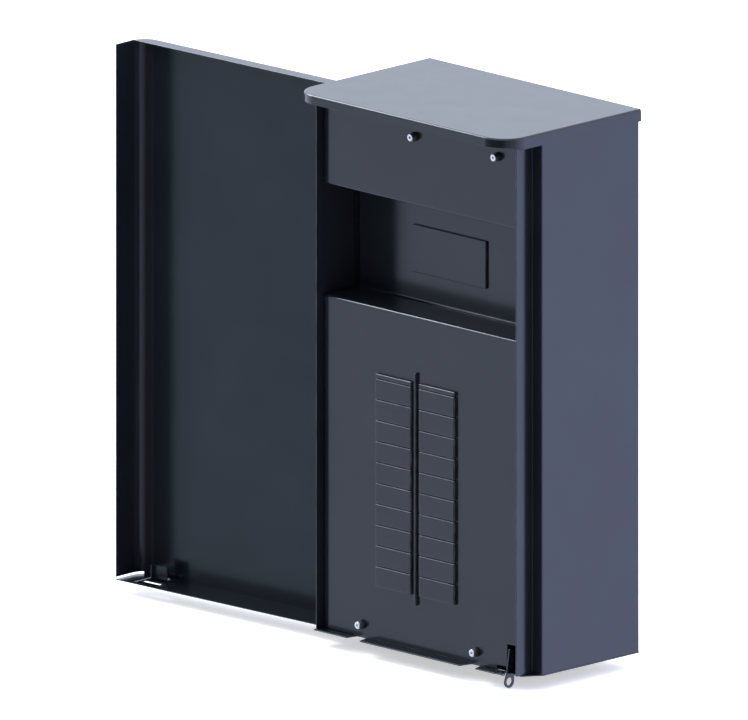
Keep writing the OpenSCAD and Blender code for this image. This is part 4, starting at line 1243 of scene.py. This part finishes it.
@dataclass
class Door(Hinged):
    """The door, drawn shut: a pan folded from one sheet, its latch bracket and rivets, and its hinge leaves.

    Attributes:
        free_corner: radius of the upright fold at the free edge.
        top_flange: depth of the top flange.
        side_notch: width and height of the notch in the upper hinge corner.
        slit: height of the slit under the free corner.
        slit_back: how far back from the face it starts.
        hinge_slot: clearance above and below a hinge.
        slot_end: y of the hinge slots' front ends.
        latch_slot: the catch's slot in the bottom flange, as two opposite corners.
        hasp_slot: y of the two ends of the hasp's slot.
    """

    body: str = "door"
    swung: bool = True
    free_corner: float = 21.0
    top_flange: float = 18.0
    side_notch: tuple[float, float] = (14.3, 3.8)
    slit: float = 2.6
    slit_back: float = 6.3
    hinge_slot: float = 2.2
    slot_end: float = -172.0
    latch_slot: tuple[tuple[float, float], tuple[float, float]] = ((104.2, -187.0), (132.7, -180.0))
    hasp_slot: tuple[float, float] = (-203.0, -172.2)

    def build(self) -> None:
        """Makes the pan, bracket, rivets and leaves."""
        self.pan()
        self.bracket()
        self.rivets()
        self.leaves()

    def turned_in(self, back: float) -> float:
        """How far round the free corner a place lies that is back behind the face: radius * acos(1 - back / radius)."""
        return self.free_corner * math.acos(1 - back / self.free_corner)

    def pan(self) -> None:
        """The pan: hinge flange, face and free flange in one wrap, closed by a bottom flange and a short top flange."""
        low, high = self.datum.shut_span("door_pan")
        (x0, face, z0), (x1, rear, z1), t = low, high, self.sheet
        wrap = [(x0, rear), (x0, face), (x1, face), (x1, rear)]
        line = FoldLine.through(wrap, [self.bend, self.free_corner])
        foot = z0 + t
        tall, notch = z1 - foot, z1 - self.side_notch[1] - foot
        side = line.mark(1, 0, x0 + self.side_notch[0])
        step = line.stations[3] + self.turned_in(self.top_flange)
        slit = line.stations[3] + self.turned_in(self.slit_back)
        width = rear - self.slot_end
        edge = [
            (0, 0), (slit, 0), (slit, self.slit), (line.length, self.slit), (line.length, tall), (step, tall),
            (step, tall - t), (side, tall - t), (side, notch), (0, notch),
        ]
        for z in sorted(self.hinges, reverse=True):
            upper, lower = z + self.hinge_tall + self.hinge_slot - foot, z - self.hinge_slot - foot
            edge += [(0, upper), (width, upper), (width, lower), (0, lower)]
        outline = Loop.rounded(edge, [0.0, 0.0] + [0.3] * (len(edge) - 2), 3)

        def meeting(*seams: float) -> Callable[[Array], Array]:
            """Edge radii that vanish at the heights where another sheet meets this one."""
            return lambda points: np.where(np.abs(points[:, 1:] - seams).min(1) < 0.1, 0.0, 0.35)

        made = Surface()
        stand = Fold(line, upright(foot, z1))
        made.plate(stand, outline, [], t, edge=meeting(0.0, tall - t), back_edge=meeting(0.0))
        hasp = self.datum.span("hasp_lever")
        near, far = self.hasp_slot
        slots = [
            Loop.rectangle((hasp[0][0] - 0.6, near), (hasp[1][0] + 0.6, far), 0.6, hole=True),
            Loop.rectangle(*self.latch_slot, 0.6, hole=True),
        ]
        bottom = Loop.rounded(wrap, [0.5, self.bend, self.free_corner, 0.5], 10)
        made.plate(Flat((0, 0, z0), (1, 0, 0), (0, 1, 0), (0, 0, 1)), bottom, slots, t, edge=1.1, back_edge=0.0)
        left, back = x0 + self.side_notch[0], face + self.top_flange
        roof = Loop.rounded(
            [(left, back), (left, face), (x1 - 4.0, face), (x1 - 0.22, back)], [0.5, 0.4, self.free_corner, 0.5], 10
        )
        made.plate(Flat((0, 0, z1), (1, 0, 0), (0, 1, 0), (0, 0, -1)), roof, [], t, edge=1.1, back_edge=0.0)
        self.fit(made, "pan", Finish.PAINT, "door_pan")

    def bracket(self) -> None:
        """The latch bracket: a foot riveted to the bottom flange, a standing plate and a side return."""
        low, high = self.datum.shut_span("door_stop_bracket")
        t = self.sheet
        back = high[1] - 6.0
        line = FoldLine.through([(low[0], back), (high[0], back), (high[0], high[1])], [1.6])
        up = FoldLine.through([(low[1] - back, low[2] + t), (0, low[2] + t), (0, high[2])], [0.6])
        a, b = line.stations, up.stations
        outline = [(0, 0), (a[1], 0), (a[1], b[2]), (line.length, b[2]), (line.length, up.length), (0, up.length)]
        made = Surface()
        made.plate(Fold(line, up), Loop.rounded(outline, [1.5, 1.5, 0.3, 0.5, 1.5, 1.5], 4), [], t)
        self.fit(made, "latch_bracket", Finish.PAINT, "door_stop_bracket")

    def rivets(self) -> None:
        """The bracket's two rivets, with domed heads."""
        low, high = self.datum.shut_span("stop_rivets")
        head, shank, under, tip = 3.0, 1.5, -1.2, low[2] - high[2]
        profile = [(0, 0), (head, 0), (head, under), (shank, under), (shank, tip), (0, tip)]
        line = FoldLine.through(profile, [1.0, 0.1, 0.1, 0.3])
        made = Surface()
        made.turned(Flat((0, 0, high[2]), (1, 0, 0), (0, 1, 0), (0, 0, -1)), line, 32)
        y = (low[1] + high[1]) / 2
        made.repeat(np.array([(low[0] + head, y, 0), (high[0] - head, y, 0)]))
        self.fit(made, "bracket_rivets", Finish.ZINC, "stop_rivets")

    def leaves(self) -> None:
        """The door's hinge leaves: flat inside the hinge flange, with the middle knuckle curled round the pin."""
        low, _ = self.datum.shut_span("door_hinge_leaves")
        self.fit(self.leaf_pair(low[1]), "door_leaves", Finish.GALVANISED, "door_hinge_leaves")


@dataclass
class Latch(Assembly):
    """The padlock hasp, which turns on its pin.

    Attributes:
        pin: y and height of the pin hole.
        pin_hole: its radius.
        eye: y and height of the padlock eye.
        eye_hole: its radius.
    """

    body: str = "hasp"
    pin: tuple[float, float] = (-135.0, 12.0)
    pin_hole: float = 2.55
    eye: tuple[float, float] = (-180.8, -11.0)
    eye_hole: float = 4.75

    def build(self) -> None:
        """Makes the lever: a flat stamping with a padlock eye that hangs below the box."""
        low, high = self.datum.span("hasp_lever")
        corners = [
            (-135, 19), (-165, 20), (-174, 28), (-180.5, 28), (-185, 0), (low[1], -11), (low[1], -19),
            (-172.8, -19), (-172.8, -1), (-167, 2), (-135, 5), (-128, 5), (-128, 19),
        ]
        radii = [3.0, 4.0, 3.0, 1.0, 4.0, 3.0, 7.9, 7.9, 2.0, 3.0, 3.0, 6.9, 6.9]
        made = Surface()
        stand = Flat((high[0], 0, 0), (0, 1, 0), (0, 0, 1), (-1, 0, 0))
        holes = [Loop.bore(self.pin, self.pin_hole, 28), Loop.bore(self.eye, self.eye_hole, 36)]
        made.plate(stand, Loop.rounded(corners, radii, 8), holes, high[0] - low[0], edge=0.3)
        self.fit(made, "padlock_lever", Finish.PAINT, "hasp_lever")


@dataclass
class Catch(Assembly):
    """The spring catch that holds the door shut.

    Attributes:
        strip: thickness of its strip.
        drop: how far its nose dips below the top of the bottom wall.
    """

    body: str = "catch"
    strip: float = 0.8
    drop: float = 5.0

    def build(self) -> None:
        """Makes the catch: a strip that runs forward along the bottom wall, dips through its slot and rises again."""
        low, high = self.datum.span("catch_spring")
        under, heel = high[2] - self.strip, -180.5
        profile = FoldLine.through(
            [(high[1], under), (heel, under), (heel, -self.drop), (low[1], -self.drop), (low[1], high[2])],
            [0.4, 2.4, 2.9],
        )
        width = high[0] - low[0]
        outline = Loop.rounded([(0, 0), (width, 0), (width, profile.length), (0, profile.length)], 0.9, 3)
        made = Surface()
        stand = Fold(FoldLine((low[0], 0.0), 0.0, [Run(width)]), profile)
        made.plate(stand, outline, [], self.strip, edge=0.15)
        self.fit(made, "catch_strip", Finish.PAINT, "catch_spring")


@dataclass
class BoxHardware(Hinged):
    """The hinge leaves and pins on the box."""

    plane: float = 3.0
    middle: bool = False

    def build(self) -> None:
        """Makes the leaves and the pins."""
        _, high = self.datum.span("box_hinge_leaves")
        self.fit(self.leaf_pair(high[1]), "box_leaves", Finish.GALVANISED, "box_hinge_leaves")
        head, shank, cap = 2.5, 1.95, 1.2
        under, foot, tip = -cap, -cap - self.hinge_tall, -2 * cap - self.hinge_tall
        profile = [
            (0, 0), (head, 0), (head, under), (shank, under), (shank, foot), (head, foot), (head, tip), (0, tip),
        ]
        line = FoldLine.through(profile, [0.9, 0.1, 0.1, 0.1, 0.1, 0.9])
        pins = Surface()
        x, y = self.datum.hinge
        pins.turned(Flat((x, y, self.hinge_tall + cap), (1, 0, 0), (0, 1, 0), (0, 0, -1)), line, 28)
        self.fit(self.at_hinges(pins), "pins", Finish.ZINC, "hinge_pins")


# ---------------------------------------------------------------- studio


@dataclass
class Studio:
    """A pale floor, a soft sky that is darker ahead, one soft lamp and the camera.

    Attributes:
        turn: the camera's angle round the object, in degrees from straight ahead.
        tilt: its angle above level.
        target: the point at the middle of the view.
        width: what the view spans.
        floor: height of the floor.
        tones: angles round the horizon, in degrees, with the red, green and blue of the sky there.
        overhead: colour of the sky above.
        below: colour of the sky under the horizon.
        rise: the heights, as sines, between which the sky turns to overhead.
        fall: the depths between which it turns to below.
        top: the strength that the sky's colours are written as shares of.
        lamp_place: where the lamp is.
        lamp_aim: the point that it faces.
        lamp_size: its width and height.
        lamp_power: in watts.
        lamp_colour: its colour.
    """

    turn: float = 45.0
    tilt: float = 14.03
    target: tuple[float, float, float] = (-0.1476, -0.121, -0.0047)
    width: float = 0.8836
    floor: float = -0.3436
    tones: tuple[tuple[float, float, float, float], ...] = (
        (-180, 1.45, 1.60, 1.90), (-135, 1.33, 1.46, 1.72), (-100, 1.80, 1.98, 2.30), (-62, 1.55, 1.70, 2.15),
        (-47, 1.28, 1.42, 1.85), (-40.5, 0.26, 0.40, 0.50), (-25, 0.16, 0.20, 0.24), (-5, 0.04, 0.045, 0.05),
        (22, 0.02, 0.02, 0.02), (38, 0.04, 0.04, 0.05), (56, 0.40, 0.44, 0.62), (82, 0.65, 0.72, 1.0),
        (110, 1.25, 1.44, 2.12), (135, 1.54, 1.77, 2.62), (160, 1.45, 1.62, 2.20),
    )
    overhead: Colour = (1.32, 1.40, 1.55, 1.0)
    below: Colour = (0.60, 0.62, 0.66, 1.0)
    rise: tuple[float, float] = (0.35, 0.75)
    fall: tuple[float, float] = (0.45, 0.85)
    top: float = 3.0
    lamp_place: tuple[float, float, float] = (-1.95, -0.45, 1.75)
    lamp_aim: tuple[float, float, float] = (0.0, -0.1, 0.0)
    lamp_size: tuple[float, float] = (1.3, 1.1)
    lamp_power: float = 60.0
    lamp_colour: tuple[float, float, float] = (0.84, 0.91, 1.0)

    def build(self) -> None:
        """Sets up the floor, sky, lamp and camera."""
        self.ground()
        self.sky()
        self.lamp()
        self.camera()
        bpy.context.scene.view_settings.view_transform = "Standard"
        log.info("studio ready")

    def ground(self) -> None:
        """The floor: a level sheet 16 m wide on a 2 by 2 grid, matt and nearly white."""
        span = np.linspace(-8.0, 8.0, 3)
        x, y = np.meshgrid(span, span)
        points = np.stack([x, y, np.full_like(x, self.floor)], -1).reshape(-1, 3)
        number = np.arange(9).reshape(3, 3)
        faces = np.stack([number[:-1, :-1], number[:-1, 1:], number[1:, 1:], number[1:, :-1]], -1).reshape(-1, 4)
        mesh = bpy.data.meshes.new("floor")
        mesh.from_pydata(points.tolist(), [], faces.tolist())
        ground = bpy.data.objects.new("floor", mesh)
        bpy.context.scene.collection.objects.link(ground)
        mix = Recipe("floor_paper")
        tone = mix.remap(mix.noise(3.0, 2.0), (0.3, 0.7))
        paper = mix.blend(tone, (0.94, 0.92, 0.89, 1.0), (0.96, 0.94, 0.91, 1.0))
        mix.set(Base_Color=paper, Roughness=0.9, IOR=1.3, Emission_Color=(1.0, 1.0, 1.0, 1.0), Emission_Strength=0.5)
        mesh.materials.append(mix.material)
        ground.visible_glossy = False

    def sky(self) -> None:
        """The sky: near the horizon it follows tones by angle, and it blends to even colours above and below."""
        world = bpy.data.worlds.new("sky")
        bpy.context.scene.world = world
        sky = Tree(world)
        split = sky.node("ShaderNodeSeparateXYZ")
        sky.link(sky.node("ShaderNodeTexCoord").outputs["Generated"], split.inputs[0])
        across, ahead, up = split.outputs
        angle = sky.sum(across, sky.sum(ahead, -1.0, "MULTIPLY"), "ARCTAN2")
        ramp = sky.node("ShaderNodeValToRGB")
        around = sky.feed(ramp, sky.sum(sky.sum(angle, 2 * math.pi, "DIVIDE"), 0.5))
        ramp.color_ramp.interpolation = "EASE"
        stops = ramp.color_ramp.elements
        while len(stops) < len(self.tones):
            stops.new(0.5)
        for stop, (at, *_) in zip(list(stops), self.tones):
            stop.position = at / 360 + 0.5
        for stop, (_, *tone) in zip(list(ramp.color_ramp.elements), self.tones):
            stop.color = self.share_of_top(tone)

        def towards(first: Socket, colour: Colour, height: Socket, band: tuple[float, float]) -> Socket:
            """Turns what is there into a colour as the height passes a band, by a smooth step."""
            share = sky.feed(sky.node("ShaderNodeMapRange", interpolation_type="SMOOTHSTEP"), height, *band)
            return sky.blend(share, first, self.share_of_top(colour))

        high = towards(around, self.overhead, up, self.rise)
        full = towards(high, self.below, sky.sum(up, -1.0, "MULTIPLY"), self.fall)
        light = sky.feed(sky.node("ShaderNodeBackground"), full, self.top)
        sky.link(light, sky.node("ShaderNodeOutputWorld").inputs[0])

    def share_of_top(self, tone: Sequence[float]) -> Colour:
        """A colour as a share of the sky's strength."""
        red, green, blue = (part / self.top for part in tone[:3])
        return red, green, blue, 1.0

    def lamp(self) -> None:
        """One soft lamp above on the left, which lights rounded upper edges and casts gentle shadows."""
        light = bpy.data.lights.new("softbox", "AREA")
        light.shape, light.energy, light.color = "RECTANGLE", self.lamp_power, self.lamp_colour
        light.size, light.size_y = self.lamp_size
        lamp = bpy.data.objects.new("softbox", light)
        lamp.location = self.lamp_place
        lamp.rotation_euler = (Vector(self.lamp_aim) - lamp.location).to_track_quat("-Z", "Y").to_euler()
        bpy.context.scene.collection.objects.link(lamp)

    def camera(self) -> None:
        """The camera: parallel projection from turn and tilt."""
        data = bpy.data.cameras.new("camera")
        data.type, data.ortho_scale = "ORTHO", self.width
        data.clip_end = 30.0
        a, e = math.radians(self.turn), math.radians(self.tilt)
        back = Vector((math.sin(a) * math.cos(e), -math.cos(a) * math.cos(e), math.sin(e)))
        eye = bpy.data.objects.new("camera", data)
        eye.location = Vector(self.target) + back * 3.0
        eye.rotation_euler = (-back).to_track_quat("-Z", "Y").to_euler()
        bpy.context.scene.collection.objects.link(eye)
        bpy.context.scene.camera = eye


def corners(box: tuple[Vector, Vector]) -> list[list[float]]:
    """A box as plain lists."""
    return [list(map(float, corner)) for corner in box]


def main() -> None:
    logging.basicConfig(level=logging.INFO, format="%(name)s: %(message)s")
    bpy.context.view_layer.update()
    datum, stock = Datum.from_frame(), Stock()
    Studio().build()
    for kind in (Housing, Covers, Door, Latch, Catch, BoxHardware):
        log.info("building %s", kind.__name__)
        kind(datum, stock).build()
    stock.dress()


if __name__ == "__main__":
    main()
